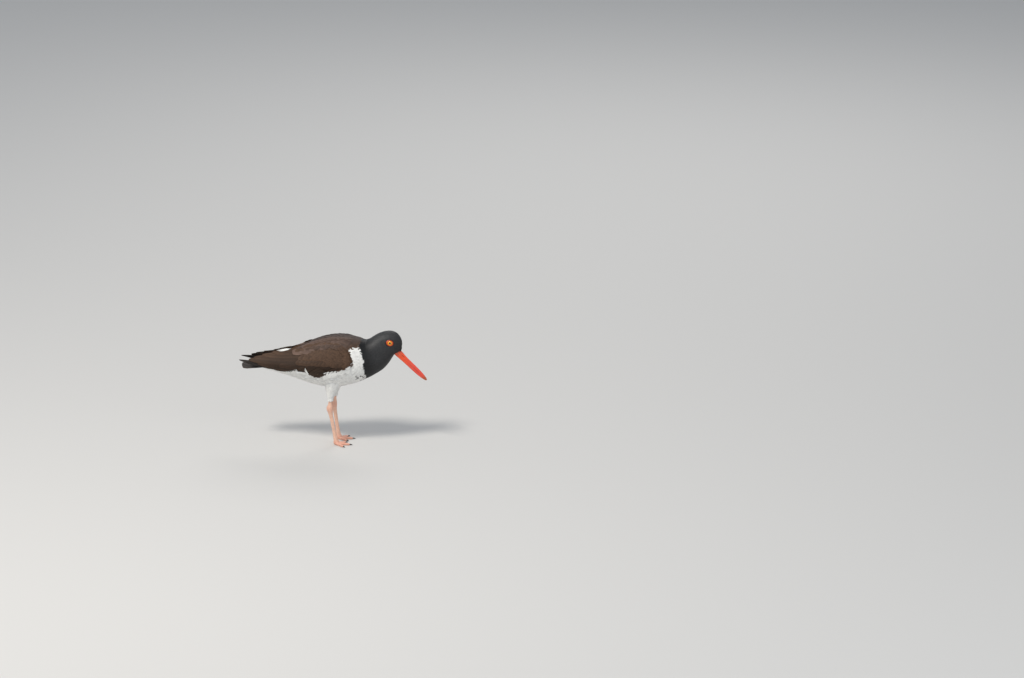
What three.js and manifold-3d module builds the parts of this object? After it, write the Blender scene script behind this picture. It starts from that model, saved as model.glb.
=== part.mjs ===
// American oystercatcher, life size, standing, head lowered and bill pointing down.
// Millimetres. +X towards the bill, +Y the bird's left, +Z up. The floor is z = 0 and the origin is under the middle of the bird's box.
// The solids give the outline of the closed plumage; every neighbour keeps a 0.3 mm gap.
import * as THREE from "three";
import { mergeVertices } from "three/addons/utils/BufferGeometryUtils.js";
import Module from "manifold-3d";

const wasm = await Module();
wasm.setup();

// ---------------------------------------------------------------- driving sizes
const GAP = 0.3; // between neighbouring solids
const BODY_STEPS = 31; // loft sections from the tail coverts to the forehead
const BODY_SIDES = 24;
const WIDEST = 0.47; // height of the widest point, as a share of each section
const SQUARE = 2.15; // superellipse exponent of the body sections
const STEP_FORWARD = [1, 4]; // the left leg is this much further forward, at the foot and at the ankle

const BILL_BASE = [129.5, 188.5]; // where the bill's axis leaves the face
const BILL_TIP = [186.6, 133.6];
const EYE = { x: 114.6, y: 13.0, z: 212.6, r: 6.3 }; // eyeball
const RING = { rx: 7.8, rz: 6.1, hole: 4.9, depth: 1.9 }; // bare orbital ring
const ANKLE = { x: -5.5, z: 75 };
const HEEL = { x: 6.5, z: 9 }; // centre of the tarsus just above the toes
const STANCE = 19.5; // each foot from the middle line
const TAIL = { root: -70, length: 114.5, spread: 12.6, feathers: 12 };

// Body sections from the tail coverts forward: back x, z; belly x, z; half-width.
const BODY = [
  [-158, 166.5, -158, 159, 7], // ends of the tail coverts
  [-147, 171.5, -147, 153, 13],
  [-124, 178, -124, 147, 18.5],
  [-100, 184, -100, 141, 24], // rump and vent
  [-76, 192.5, -75, 133.5, 31],
  [-53, 204, -52, 125.5, 37],
  [-31, 214, -30, 119.5, 41.5],
  [-9, 220.8, -8, 117, 43.8],
  [13, 223.6, 15, 118.2, 44.3], // deepest part of the trunk
  [34, 222.2, 37, 123, 42.2],
  [51, 218.4, 56, 129.8, 38], // breast
  [63.5, 214.4, 72, 137, 32.8],
  [72.5, 216.4, 86, 145, 28.8], // nape notch and throat
  [82, 222.6, 97.5, 152.6, 25.8],
  [93, 228.9, 106.5, 161.6, 23.2],
  [104, 232.7, 113.3, 171, 21.4],
  [115, 233.6, 118.2, 179.6, 20], // crown over the eye
  [125, 230.8, 122.4, 185.4, 17.6],
  [132.2, 224.2, 126.2, 187.6, 14.4],
  [136.2, 216, 129.4, 188.4, 11.2],
  [137.3, 208, 131.8, 189.4, 8.4], // forehead
  [136.6, 201, 133.4, 191, 5.6],
];

// Closed wing, sections from the bend of the wing back: x; upper edge y, z; outermost y, z; lower edge y, z; thickness.
const WING = [
  [38.5, 42.6, 185, 44.6, 180, 44.2, 174, 1.8],
  [33.5, 38, 195, 46.2, 178, 45.4, 165, 5],
  [18, 31, 207, 47.4, 177, 45, 160, 7.5],
  [-6, 28.5, 209.5, 47.2, 176, 43.6, 155, 8],
  [-31, 25, 207, 44.8, 175, 40.6, 149.8, 8],
  [-56, 19.5, 201, 40.2, 173, 36.2, 150.5, 7.5],
  [-81, 13, 195, 34.6, 172, 32.2, 151.5, 7],
  [-106, 8.5, 190.5, 30, 172, 29.5, 154, 6],
  [-131, 6, 187.5, 26, 173, 27.5, 157, 5],
  [-152, 6, 185, 22.8, 173.5, 25, 159.8, 4],
  [-168, 8.5, 181.5, 20, 173.5, 22.5, 163, 3],
  [-179.5, 12, 177, 18, 172.8, 20, 167, 2],
  [-187, 15.4, 173, 16.8, 171.6, 17.6, 170, 1.2],
];
const WING_PROUD = 1.1; // how far the wing's edge stands off the body
const SINK_BLEND = 0.8;
// The long primaries are parted from the coverts and tertials along this slanting line.
const PRIMARY_LINE = { from: [-74, 149.5], to: [-177, 176.5] };

const COLOURS = {
  black: { color: 0x17171b, roughness: 0.75 },
  brown: { color: 0x43342d, roughness: 0.85 },
  white: { color: 0xe9e8e4, roughness: 0.85 },
  primary: { color: 0x1d1a1a, roughness: 0.7 },
  bill: { color: 0xe6301a, roughness: 0.35 },
  leg: { color: 0xe3a78c, roughness: 0.6 },
  claw: { color: 0x4b423e, roughness: 0.5 },
  iris: { color: 0xf2a01c, roughness: 0.1 },
  ring: { color: 0xd63a12, roughness: 0.45 },
};

// ---------------------------------------------------------------- helpers
const V = (x, y, z) => new THREE.Vector3(x, y, z);
const lerp = (a, b, t) => a + (b - a) * t;

// Smooth curve through the rows of a table, every column at once; t runs from 0 to rows - 1.
function row(table, t) {
  const n = table.length - 1;
  const i = Math.min(n - 1, Math.max(0, Math.floor(t)));
  const f = t - i;
  const at = (k) => table[Math.min(n, Math.max(0, k))];
  const [p, a, b, q] = [at(i - 1), at(i), at(i + 1), at(i + 2)];
  return a.map((_, c) => {
    const m0 = (b[c] - p[c]) / (i > 0 ? 2 : 1);
    const m1 = (q[c] - a[c]) / (i < n - 1 ? 2 : 1);
    const f2 = f * f;
    const f3 = f2 * f;
    return (
      (2 * f3 - 3 * f2 + 1) * a[c] +
      (f3 - 2 * f2 + f) * m0 +
      (3 * f2 - 2 * f3) * b[c] +
      (f3 - f2) * m1
    );
  });
}

// A closed body through rings of points, with a flat fan on each end.
function loft(rings) {
  const m = rings[0].length;
  const position = [];
  const index = [];
  for (const ring of rings) for (const p of ring) position.push(p.x, p.y, p.z);
  for (let i = 0; i + 1 < rings.length; i++)
    for (let j = 0; j < m; j++) {
      const a = i * m + j;
      const b = i * m + ((j + 1) % m);
      index.push(a, b, b + m, a, b + m, a + m);
    }
  for (const [k, flip] of [
    [0, true],
    [rings.length - 1, false],
  ]) {
    const c = rings[k]
      .reduce((s, p) => s.add(p), V(0, 0, 0))
      .divideScalar(m);
    const centre = position.length / 3;
    position.push(c.x, c.y, c.z);
    for (let j = 0; j < m; j++) {
      const a = k * m + j;
      const b = k * m + ((j + 1) % m);
      index.push(...(flip ? [b, a, centre] : [a, b, centre]));
    }
  }
  const g = new THREE.BufferGeometry();
  g.setAttribute("position", new THREE.Float32BufferAttribute(position, 3));
  g.setIndex(index);
  return g;
}

function solid(geometry) {
  const g = geometry.clone();
  g.deleteAttribute("normal");
  g.deleteAttribute("uv");
  const merged = mergeVertices(g, 1e-4);
  const make = (tri) =>
    new wasm.Manifold(
      new wasm.Mesh({
        numProp: 3,
        vertProperties: merged.attributes.position.array,
        triVerts: tri,
      }),
    );
  const tri = new Uint32Array(merged.index.array);
  const made = make(tri);
  if (made.volume() > 0) return made;
  for (let i = 0; i < tri.length; i += 3)
    [tri[i + 1], tri[i + 2]] = [tri[i + 2], tri[i + 1]];
  return make(tri);
}

function geometryOf(manifold) {
  const parts = manifold.decompose().sort((a, b) => b.volume() - a.volume());
  const mesh = parts[0].getMesh();
  const n = mesh.numProp;
  const v = new Float32Array(mesh.numVert * 3);
  for (let i = 0; i < mesh.numVert; i++)
    for (let k = 0; k < 3; k++) v[i * 3 + k] = mesh.vertProperties[i * n + k];
  const g = new THREE.BufferGeometry();
  g.setAttribute("position", new THREE.BufferAttribute(v, 3));
  g.setIndex(new THREE.BufferAttribute(new Uint32Array(mesh.triVerts), 1));
  g.computeVertexNormals();
  return g;
}

// A big box whose one face is a plane through the line a-b of the side view, on the side that side points to.
function halfSpace(a, b, side, shift = 0) {
  const size = 800;
  const along = V(b[0] - a[0], 0, b[1] - a[1]).normalize();
  const out = V(along.z, 0, -along.x).multiplyScalar(side);
  const box = new THREE.BoxGeometry(size, size, size);
  const centre = V((a[0] + b[0]) / 2, 0, (a[1] + b[1]) / 2).addScaledVector(
    out,
    size / 2 + shift,
  );
  const basis = new THREE.Matrix4().makeBasis(
    along,
    out.clone().cross(along).normalize(),
    out,
  );
  basis.setPosition(centre);
  box.applyMatrix4(basis);
  return solid(box);
}

// ---------------------------------------------------------------- body envelope
function bodySection(t, grow = 0) {
  const [tx, tz, bx, bz, w] = row(BODY, t);
  const up = V(tx - bx, 0, tz - bz);
  const h = up.length();
  up.normalize();
  const c = V(bx, 0, bz).addScaledVector(up, h * WIDEST);
  const ring = [];
  for (let j = 0; j < BODY_SIDES; j++) {
    const a = (2 * Math.PI * j) / BODY_SIDES;
    const e = 2 / SQUARE;
    const u = Math.sign(Math.cos(a)) * Math.abs(Math.cos(a)) ** e;
    const s = Math.sign(Math.sin(a)) * Math.abs(Math.sin(a)) ** e;
    const r = (u > 0 ? h * (1 - WIDEST) : h * WIDEST) + grow;
    ring.push(c.clone().addScaledVector(up, r * u).add(V(0, (w + grow) * s, 0)));
  }
  return ring;
}

function bodyEnvelope(grow = 0) {
  const rings = [];
  const last = BODY.length - 1;
  for (let i = 0; i <= BODY_STEPS; i++)
    rings.push(bodySection((last * i) / BODY_STEPS, grow));
  return solid(loft(rings));
}

// ---------------------------------------------------------------- closed wing
// Distance from the body's axis to its surface, in the upright section at x, towards (y, z).
function bodyReach(x, y, z) {
  let [a, b] = [0, BODY.length - 1];
  for (let i = 0; i < 30; i++) {
    const m = (a + b) / 2;
    const [tx, , bx] = row(BODY, m);
    if ((tx + bx) / 2 < x) a = m;
    else b = m;
  }
  const [, tz, , bz, w] = row(BODY, a);
  const h = tz - bz;
  const zc = bz + h * WIDEST;
  const l = Math.hypot(y, z - zc);
  const up = Math.abs(z - zc) / l / (z > zc ? h * (1 - WIDEST) : h * WIDEST);
  return { zc, l, reach: (up ** SQUARE + (y / l / w) ** SQUARE) ** (-1 / SQUARE) };
}

// Scallops of the stacked primary tips along the last stretch of the wing.
const tipStep = (x, v) =>
  x > -150 ? 0 : ((-150 - x) / 36) ** 2 * 2.2 * Math.abs(Math.sin(v * Math.PI * 5));

function wingSolid(side, grow = 0) {
  const rings = [];
  const steps = 19;
  const across = 6;
  for (let i = 0; i <= steps; i++) {
    let [x, ay, az, my, mz, by, bz, thick] = row(
      WING,
      ((WING.length - 1) * i) / steps,
    );
    if (i === 0) x += grow;
    if (i === steps) x -= grow;
    const cy = 2 * my - (ay + by) / 2;
    const cz = 2 * mz - (az + bz) / 2;
    const outer = [];
    const inner = [];
    for (let k = 0; k <= across; k++) {
      const v = k / across;
      let y = (1 - v) ** 2 * ay + 2 * v * (1 - v) * cy + v * v * by;
      let z = (1 - v) ** 2 * az + 2 * v * (1 - v) * cz + v * v * bz;
      if (x > BODY[0][0]) {
        // The wing lies on the body: no point of its outer face sinks below the plumage.
        const { zc, l, reach } = bodyReach(x, y, z);
        const least = reach + WING_PROUD;
        const r = least + SINK_BLEND * Math.log1p(Math.exp((l - least) / SINK_BLEND));
        y *= r / l;
        z = zc + ((z - zc) * r) / l;
      }
      const dy = 2 * (1 - v) * (cy - ay) + 2 * v * (by - cy);
      const dz = 2 * (1 - v) * (cz - az) + 2 * v * (bz - cz);
      const l = Math.hypot(dy, dz);
      const [ny, nz] = [-dz / l, dy / l]; // outwards
      const [ty, tz] = [dy / l, dz / l]; // down the wing
      const edge = k === 0 ? -grow : k === across ? grow : 0;
      const t = Math.max(0.7, thick * Math.sin(Math.PI * v) ** 0.6);
      const xx = x + tipStep(x, v);
      const place = (d) =>
        V(xx, side * (y + ny * d + ty * edge), z + nz * d + tz * edge);
      outer.push(place(grow));
      inner.push(place(-t - grow));
    }
    rings.push([...outer, ...inner.reverse()]);
  }
  return solid(loft(rings));
}

// ---------------------------------------------------------------- tail
function tailSolid(grow = 0) {
  const rings = [];
  const steps = 3;
  const across = TAIL.feathers * 2;
  for (let i = 0; i <= steps; i++) {
    const u = i / steps;
    const top = [];
    const bottom = [];
    for (let k = 0; k <= across; k++) {
      const v = k / across;
      const angle = ((v * 2 - 1) * TAIL.spread * Math.PI) / 180;
      const lobes = Math.abs(Math.sin(Math.PI * TAIL.feathers * v));
      const long =
        TAIL.length - 2.5 * (2 * v - 1) ** 2 - 1.6 * (1 - lobes) * u ** 6;
      const r = lerp(20 - grow, long + grow, u);
      const x = TAIL.root - r * Math.cos(angle);
      const y =
        r * Math.sin(angle) + Math.sign(v - 0.5) * (k % across ? 0 : grow);
      const z = lerp(155.6, 158.2, u) - 0.0042 * y * y;
      const half = lerp(1.5, 0.65, u) + grow;
      top.push(V(x, y, z + half));
      bottom.push(V(x, y, z - half));
    }
    rings.push([...top, ...bottom.reverse()]);
  }
  return solid(loft(rings));
}

// ---------------------------------------------------------------- round limbs
// Rows of x, y, z, half-size along the direction of travel's side view, half-size sideways.
function limb(rows, steps, sides, grow = 0) {
  const rings = [];
  for (let i = 0; i <= steps; i++) {
    const t = ((rows.length - 1) * i) / steps;
    const [x, y, z, rx, ry] = row(rows, t);
    const [x0, , z0] = row(rows, Math.max(0, t - 0.01));
    const [x1, , z1] = row(rows, Math.min(rows.length - 1, t + 0.01));
    const along = V(x1 - x0, 0, z1 - z0).normalize();
    const fore = V(-along.z, 0, along.x);
    const ring = [];
    for (let j = 0; j < sides; j++) {
      const a = (2 * Math.PI * j) / sides;
      ring.push(
        V(x, y, z)
          .addScaledVector(fore, (rx + grow) * Math.cos(a))
          .add(V(0, (ry + grow) * Math.sin(a), 0)),
      );
    }
    rings.push(ring);
  }
  return solid(loft(rings));
}

// ---------------------------------------------------------------- bill
const billAxis = V(
  BILL_TIP[0] - BILL_BASE[0],
  0,
  BILL_TIP[1] - BILL_BASE[1],
);
const BILL_LENGTH = billAxis.length();
billAxis.normalize();
const billUp = V(-billAxis.z, 0, billAxis.x);
// Share of the length; culmen and lower edge above and below the gape line; half-width; height of the gape line.
const BILL = [
  [-0.1, 6.4, -6.2, 5.2, 0],
  [0, 7.2, -6.9, 5.6, 0],
  [0.08, 7.3, -6.8, 5.2, 0.1],
  [0.2, 6.2, -6.3, 4.2, 0.2],
  [0.38, 5.6, -5.9, 3.2, 0.1],
  [0.55, 5.6, -5.9, 2.5, 0],
  [0.7, 5.2, -5.6, 2.1, -0.1],
  [0.84, 4.3, -4.6, 1.8, -0.2],
  [0.94, 3.0, -3.2, 1.5, -0.3],
  [1, 1.5, -1.5, 1.1, -0.4],
];

function mandible(upper, grow = 0) {
  const rings = [];
  const steps = 15;
  const arc = 6;
  for (let i = 0; i <= steps; i++) {
    let [s, top, bottom, w, line] = row(
      BILL,
      ((BILL.length - 1) * i) / steps,
    );
    s = s * BILL_LENGTH + (i === 0 ? -grow : i === steps ? grow : 0);
    const at = (n, y) =>
      V(BILL_BASE[0], y, BILL_BASE[1])
        .addScaledVector(billAxis, s)
        .addScaledVector(billUp, n);
    const sign = upper ? 1 : -1;
    const h = (upper ? top - line : line - bottom) - GAP / 2 + 2 * grow;
    const ring = [];
    for (let k = 0; k <= arc; k++) {
      const a = (Math.PI * k) / arc;
      const flat = Math.abs(Math.cos(a)) ** 0.85 * Math.sign(Math.cos(a));
      ring.push(
        at(
          line + sign * (GAP / 2 - grow + h * Math.sin(a) ** 0.8),
          (w + grow) * flat,
        ),
      );
    }
    rings.push(ring);
  }
  return solid(loft(rings));
}

function wholeBill(grow) {
  return mandible(true, grow).add(mandible(false, grow));
}

// A nostril slit on each side of the upper mandible.
function nostril(side) {
  const cut = new THREE.SphereGeometry(1, 8, 6);
  cut.scale(4.2, 1.3, 0.75);
  cut.applyMatrix4(
    new THREE.Matrix4()
      .makeBasis(billAxis, V(0, 1, 0), billAxis.clone().cross(V(0, 1, 0)))
      .setPosition(
        V(BILL_BASE[0], side * 5.0, BILL_BASE[1])
          .addScaledVector(billAxis, 12)
          .addScaledVector(billUp, 3.2),
      ),
  );
  return solid(cut);
}

// ---------------------------------------------------------------- eye
// The ring and eye face sideways and a little forward.
function eyeFrame(side) {
  const out = V(0.16, side, 0.05).normalize();
  const along = V(billAxis.x, 0, billAxis.z * 0.55).normalize();
  along.addScaledVector(out, -along.dot(out)).normalize();
  return { out, along, across: out.clone().cross(along).normalize() };
}

function eyeball(side, grow = 0) {
  const g = new THREE.SphereGeometry(EYE.r + grow, 12, 8);
  g.translate(EYE.x, side * EYE.y, EYE.z);
  return solid(g);
}

function orbitalRing(side, grow = 0) {
  const { out, along, across } = eyeFrame(side);
  const centre = V(EYE.x, side * EYE.y, EYE.z);
  const rings = [];
  const around = 18;
  const section = 5;
  for (let i = 0; i < around; i++) {
    const a = (2 * Math.PI * i) / around;
    const ring = [];
    for (let k = 0; k < section; k++) {
      const b = (2 * Math.PI * k) / section;
      const u = 0.5 + 0.5 * Math.cos(b); // 0 at the hole, 1 at the rim
      const rx = lerp(RING.hole - grow, RING.rx + grow, u);
      const rz = lerp(RING.hole - grow, RING.rz + grow, u);
      const high =
        5.05 -
        0.9 * u +
        Math.sin(b) * (RING.depth / 2 + grow) * (0.75 + 0.25 * (1 - u));
      ring.push(
        centre
          .clone()
          .addScaledVector(along, rx * Math.cos(a))
          .addScaledVector(across, rz * Math.sin(a))
          .addScaledVector(out, high),
      );
    }
    rings.push(ring);
  }
  // Joined end to end, so it has no caps.
  const position = [];
  const index = [];
  for (const ring of rings) for (const p of ring) position.push(p.x, p.y, p.z);
  for (let i = 0; i < around; i++)
    for (let k = 0; k < section; k++) {
      const a = i * section + k;
      const b = i * section + ((k + 1) % section);
      const c = ((i + 1) % around) * section + k;
      const d = ((i + 1) % around) * section + ((k + 1) % section);
      index.push(a, b, d, a, d, c);
    }
  const g = new THREE.BufferGeometry();
  g.setAttribute("position", new THREE.Float32BufferAttribute(position, 3));
  g.setIndex(index);
  return solid(g);
}

// The socket that the ring and eyeball sit in: the ring's place, open to the outside.
function socket(side) {
  const { out, along, across } = eyeFrame(side);
  const well = new THREE.CylinderGeometry(1, 1, 12, 18);
  well.applyMatrix4(
    new THREE.Matrix4()
      .makeBasis(
        along.clone().multiplyScalar(RING.rx + GAP),
        out.clone().multiplyScalar(1),
        across.clone().multiplyScalar(-(RING.rz + GAP)),
      )
      .setPosition(
        V(EYE.x, side * EYE.y, EYE.z).addScaledVector(
          out,
          5.05 - 0.9 - RING.depth / 2 - GAP + 6,
        ),
      ),
  );
  return solid(well).add(eyeball(side, GAP));
}

// ---------------------------------------------------------------- legs
const forward = (side, z) =>
  side > 0
    ? lerp(...STEP_FORWARD, Math.min(1, Math.max(0, (z - 9) / (ANKLE.z - 9))))
    : 0;

function legRows(side) {
  const y = side * STANCE;
  const at = (x, out, z, rx, ry) => [
    x + forward(side, z),
    y + side * out,
    z,
    rx,
    ry,
  ];
  return {
    thigh: [
      at(3.6, 1.5, 142, 18.5, 12),
      at(0.8, 1, 128, 16, 12.5),
      at(-1.2, 0.5, 117, 12, 11),
      at(-2.8, 0.2, 108, 8.8, 8.4),
      at(-3.5, 0, 101, 6.4, 6.1),
      at(-3.8, 0, 96.5, 4.9, 4.6),
    ],
    leg: [
      at(-4, 0, 96.5 - GAP, 4, 3.7),
      at(-4.3, 0, 90, 3.8, 3.5),
      at(-4.8, 0, 83, 4.4, 3.9),
      at(ANKLE.x - 0.2, 0, ANKLE.z + 3, 6.2, 5.2),
      at(ANKLE.x, 0, ANKLE.z - 2.5, 6.4, 5.3),
      at(ANKLE.x + 1.4, 0, ANKLE.z - 10, 4.7, 3.8),
      at(-2.2, 0, 55, 3.9, 2.9),
      at(0.8, 0, 38, 3.7, 2.7),
      at(4, 0, 21, 3.9, 3),
      at(5.6, 0, 13, 4.5, 3.9),
      at(HEEL.x, 0, HEEL.z, 5, 4.8),
    ],
  };
}

// Three front toes and no hind toe, as in the genus. Degrees from straight ahead (outwards positive), length without claw.
const TOES = [
  { name: "inner", turn: -36, length: 22, claw: 5 },
  { name: "middle", turn: 4, length: 28, claw: 5.5 },
  { name: "outer", turn: 46, length: 24, claw: 5 },
];

function toeRows(side, toe) {
  const dx = forward(side, HEEL.z);
  const a = (-side * -toe.turn * Math.PI) / 180;
  const at = (d, z, r, s) => [
    HEEL.x + dx + d * Math.cos(a),
    side * STANCE + d * Math.sin(a),
    z,
    r,
    s,
  ];
  const L = toe.length;
  return {
    a,
    flesh: [
      at(-3, 3.6, 3.4, 3.4),
      at(3, 3.7, 3.9, 3.9),
      at(L * 0.34, 2.4, 2.8, 2.8),
      at(L * 0.5, 2.3, 2.9, 3.0),
      at(L * 0.66, 2.0, 2.4, 2.5),
      at(L * 0.82, 1.9, 2.4, 2.6),
      at(L, 1.5, 1.6, 1.7),
    ],
    claw: [
      at(L + GAP, 1.8, 1.2, 1.1),
      at(L + toe.claw * 0.4, 1.9, 1.05, 0.95),
      at(L + toe.claw * 0.8, 1.4, 0.7, 0.65),
      at(L + toe.claw, 0.95, 0.4, 0.4),
    ],
  };
}

// A toe's rings stand across its own direction.
function toeSolid(rows, a, steps, sides, grow = 0) {
  const rings = [];
  const cross = V(-Math.sin(a), Math.cos(a), 0);
  for (let i = 0; i <= steps; i++) {
    const [x, y, z, r, s] = row(rows, ((rows.length - 1) * i) / steps);
    const ring = [];
    for (let j = 0; j < sides; j++) {
      const b = (2 * Math.PI * j) / sides;
      ring.push(
        V(x, y, z)
          .addScaledVector(cross, (s + grow) * Math.cos(b))
          .add(V(0, 0, (r + grow) * Math.sin(b))),
      );
    }
    rings.push(ring);
  }
  return solid(loft(rings));
}

// ---------------------------------------------------------------- assembly
const root = new THREE.Group();
function put(name, manifold, look) {
  const material = new THREE.MeshStandardMaterial({
    color: COLOURS[look].color,
    roughness: COLOURS[look].roughness,
    metalness: 0,
  });
  const mesh = new THREE.Mesh(geometryOf(manifold), material);
  mesh.name = name;
  root.add(mesh);
}

const sides = [
  [-1, "right"],
  [1, "left"],
];
const envelope = bodyEnvelope();
const around = bodyEnvelope(GAP);
const tail = tailSolid();
const tailAround = tailSolid(GAP);

// Wings, each parted into the covert and tertial mass and the long primaries.
let body = envelope;
for (const [side, word] of sides) {
  const wing = wingSolid(side);
  const { from, to } = PRIMARY_LINE;
  put(
    "wing_" + word,
    wing.intersect(halfSpace(from, to, 1, GAP / 2)).subtract(tailAround),
    "brown",
  );
  put(
    "primaries_" + word,
    wing.intersect(halfSpace(from, to, -1, GAP / 2)).subtract(tailAround),
    "primary",
  );
  body = body.subtract(wingSolid(side, GAP));
}
put("tail", tail, "primary");
body = body.subtract(tailAround).subtract(wholeBill(GAP));
for (const [side] of sides) body = body.subtract(socket(side));

// Head, neck, trunk and rump, parted behind the cheek, across the nape notch and where the flesh ends and the tail coverts go on alone.
const RUMP_CUT = [
  [-52, 115],
  [-66, 205],
];
const NECK_CUT = [
  [75, 131],
  [62, 222],
];
const HEAD_CUT = [
  [109.5, 155],
  [89, 236],
];
put(
  "trunk",
  body
    .intersect(halfSpace(...NECK_CUT, -1, GAP / 2))
    .intersect(halfSpace(...RUMP_CUT, 1, GAP / 2)),
  "white",
);
put("rump", body.intersect(halfSpace(...RUMP_CUT, -1, GAP / 2)), "white");
put(
  "neck",
  body
    .intersect(halfSpace(...NECK_CUT, 1, GAP / 2))
    .intersect(halfSpace(...HEAD_CUT, -1, GAP / 2)),
  "black",
);
put("head", body.intersect(halfSpace(...HEAD_CUT, 1, GAP / 2)), "black");

put(
  "bill_upper",
  mandible(true).subtract(nostril(1)).subtract(nostril(-1)),
  "bill",
);
put("bill_lower", mandible(false), "bill");

const floor = solid(
  new THREE.BoxGeometry(900, 900, 200).translate(0, 0, -100),
);
for (const [side, word] of sides) {
  put("eye_" + word, eyeball(side), "iris");
  put("eye_ring_" + word, orbitalRing(side).subtract(eyeball(side, 0.05)), "ring");
  const rows = legRows(side);
  put("thigh_" + word, limb(rows.thigh, 8, 12).subtract(around), "white");
  const leg = limb(rows.leg, 14, 10);
  const cut = [
    [0, HEEL.z],
    [10, HEEL.z],
  ];
  put("leg_" + word, leg.intersect(halfSpace(...cut, -1, GAP / 2)), "leg");
  // The foot: a low pad under the leg and the toes, flat where it meets the floor.
  const dx = forward(side, HEEL.z);
  const pad = new THREE.SphereGeometry(1, 10, 6);
  pad.scale(6.2, 5.4, 6.4);
  pad.translate(HEEL.x + 0.8 + dx, side * STANCE, 5.4);
  let foot = solid(pad);
  for (const toe of TOES) {
    const made = toeRows(side, toe);
    foot = foot.add(toeSolid(made.flesh, made.a, 5, 7));
    put(
      "claw_" + word + "_" + toe.name,
      toeSolid(made.claw, made.a, 3, 6).subtract(floor),
      "claw",
    );
  }
  put(
    "foot_" + word,
    foot.subtract(floor).intersect(halfSpace(...cut, 1, GAP / 2)),
    "leg",
  );
}

// The origin is under the middle of the whole box.
root.position.x = -0.32;

export default root;
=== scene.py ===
import math
import bpy
import numpy as np
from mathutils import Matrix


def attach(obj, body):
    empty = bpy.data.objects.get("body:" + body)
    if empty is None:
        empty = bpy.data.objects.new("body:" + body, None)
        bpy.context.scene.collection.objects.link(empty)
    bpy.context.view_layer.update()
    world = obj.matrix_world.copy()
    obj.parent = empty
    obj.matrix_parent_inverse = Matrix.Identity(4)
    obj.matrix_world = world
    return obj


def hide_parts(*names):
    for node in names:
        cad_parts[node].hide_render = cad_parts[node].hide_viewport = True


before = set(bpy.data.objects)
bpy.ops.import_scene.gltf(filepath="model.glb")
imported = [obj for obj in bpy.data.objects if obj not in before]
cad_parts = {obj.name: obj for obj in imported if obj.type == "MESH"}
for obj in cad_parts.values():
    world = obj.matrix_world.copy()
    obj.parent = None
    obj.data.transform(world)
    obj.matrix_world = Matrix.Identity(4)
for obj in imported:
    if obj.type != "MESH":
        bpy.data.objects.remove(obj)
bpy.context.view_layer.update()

MM = 0.001
SHIFT = -0.32  # the solids' own shift to the middle of the box
rng = np.random.default_rng(20431)

# ------------------------------------------------------------------ tables
WIDEST, SQUARE = 0.47, 2.15
BODY = np.array([
    [-158, 166.5, -158, 159, 7], [-147, 171.5, -147, 153, 13], [-124, 178, -124, 147, 18.5],
    [-100, 184, -100, 141, 24], [-76, 192.5, -75, 133.5, 31], [-53, 204, -52, 125.5, 37],
    [-31, 214, -30, 119.5, 41.5], [-9, 220.8, -8, 117, 43.8], [13, 223.6, 15, 118.2, 44.3],
    [34, 222.2, 37, 123, 42.2], [51, 218.4, 56, 129.8, 38], [63.5, 214.4, 72, 137, 32.8],
    [72.5, 216.4, 86, 145, 28.8], [82, 222.6, 97.5, 152.6, 25.8], [93, 228.9, 106.5, 161.6, 23.2],
    [104, 232.7, 113.3, 171, 21.4], [115, 233.6, 118.2, 179.6, 20], [125, 230.8, 122.4, 185.4, 17.6],
    [132.2, 224.2, 126.2, 187.6, 14.4], [136.2, 216, 129.4, 188.4, 11.2], [137.3, 208, 131.8, 189.4, 8.4],
    [136.6, 201, 133.4, 191, 5.6]], float)
WING = np.array([
    [38.5, 42.6, 185, 44.6, 180, 44.2, 174, 1.8], [33.5, 38, 195, 46.2, 178, 45.4, 165, 5],
    [18, 31, 207, 47.4, 177, 45, 160, 7.5], [-6, 28.5, 209.5, 47.2, 176, 43.6, 155, 8],
    [-31, 25, 207, 44.8, 175, 40.6, 149.8, 8], [-56, 19.5, 201, 40.2, 173, 36.2, 150.5, 7.5],
    [-81, 13, 195, 34.6, 172, 32.2, 151.5, 7], [-106, 8.5, 190.5, 30, 172, 29.5, 154, 6],
    [-131, 6, 187.5, 26, 173, 27.5, 157, 5], [-152, 6, 185, 22.8, 173.5, 25, 159.8, 4],
    [-168, 8.5, 181.5, 20, 173.5, 22.5, 163, 3], [-179.5, 12, 177, 18, 172.8, 20, 167, 2],
    [-187, 15.4, 173, 16.8, 171.6, 17.6, 170, 1.2]], float)
WING_PROUD, SINK_BLEND = 1.1, 0.8
ANKLE = (-5.5, 75.0)
HEEL = (6.5, 9.0)
STANCE = 19.5
STEP_FORWARD = (1.0, 4.0)
TAIL = dict(root=-70.0, length=114.5, spread=12.6, feathers=12)
BILL_BASE = np.array([129.5, 0, 188.5])
BILL_TIP = np.array([186.6, 0, 133.6])
EYE = dict(x=114.6, y=13.0, z=212.6, r=6.3)
RING = dict(rx=7.8, rz=6.1, hole=4.9, depth=1.9)
TOES = [("inner", -36, 22, 5), ("middle", 4, 28, 5.5), ("outer", 46, 24, 5)]


def smooth(x, a, b):
    t = np.clip((np.asarray(x, float) - a) / (b - a), 0, 1)
    return t * t * (3 - 2 * t)


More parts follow.
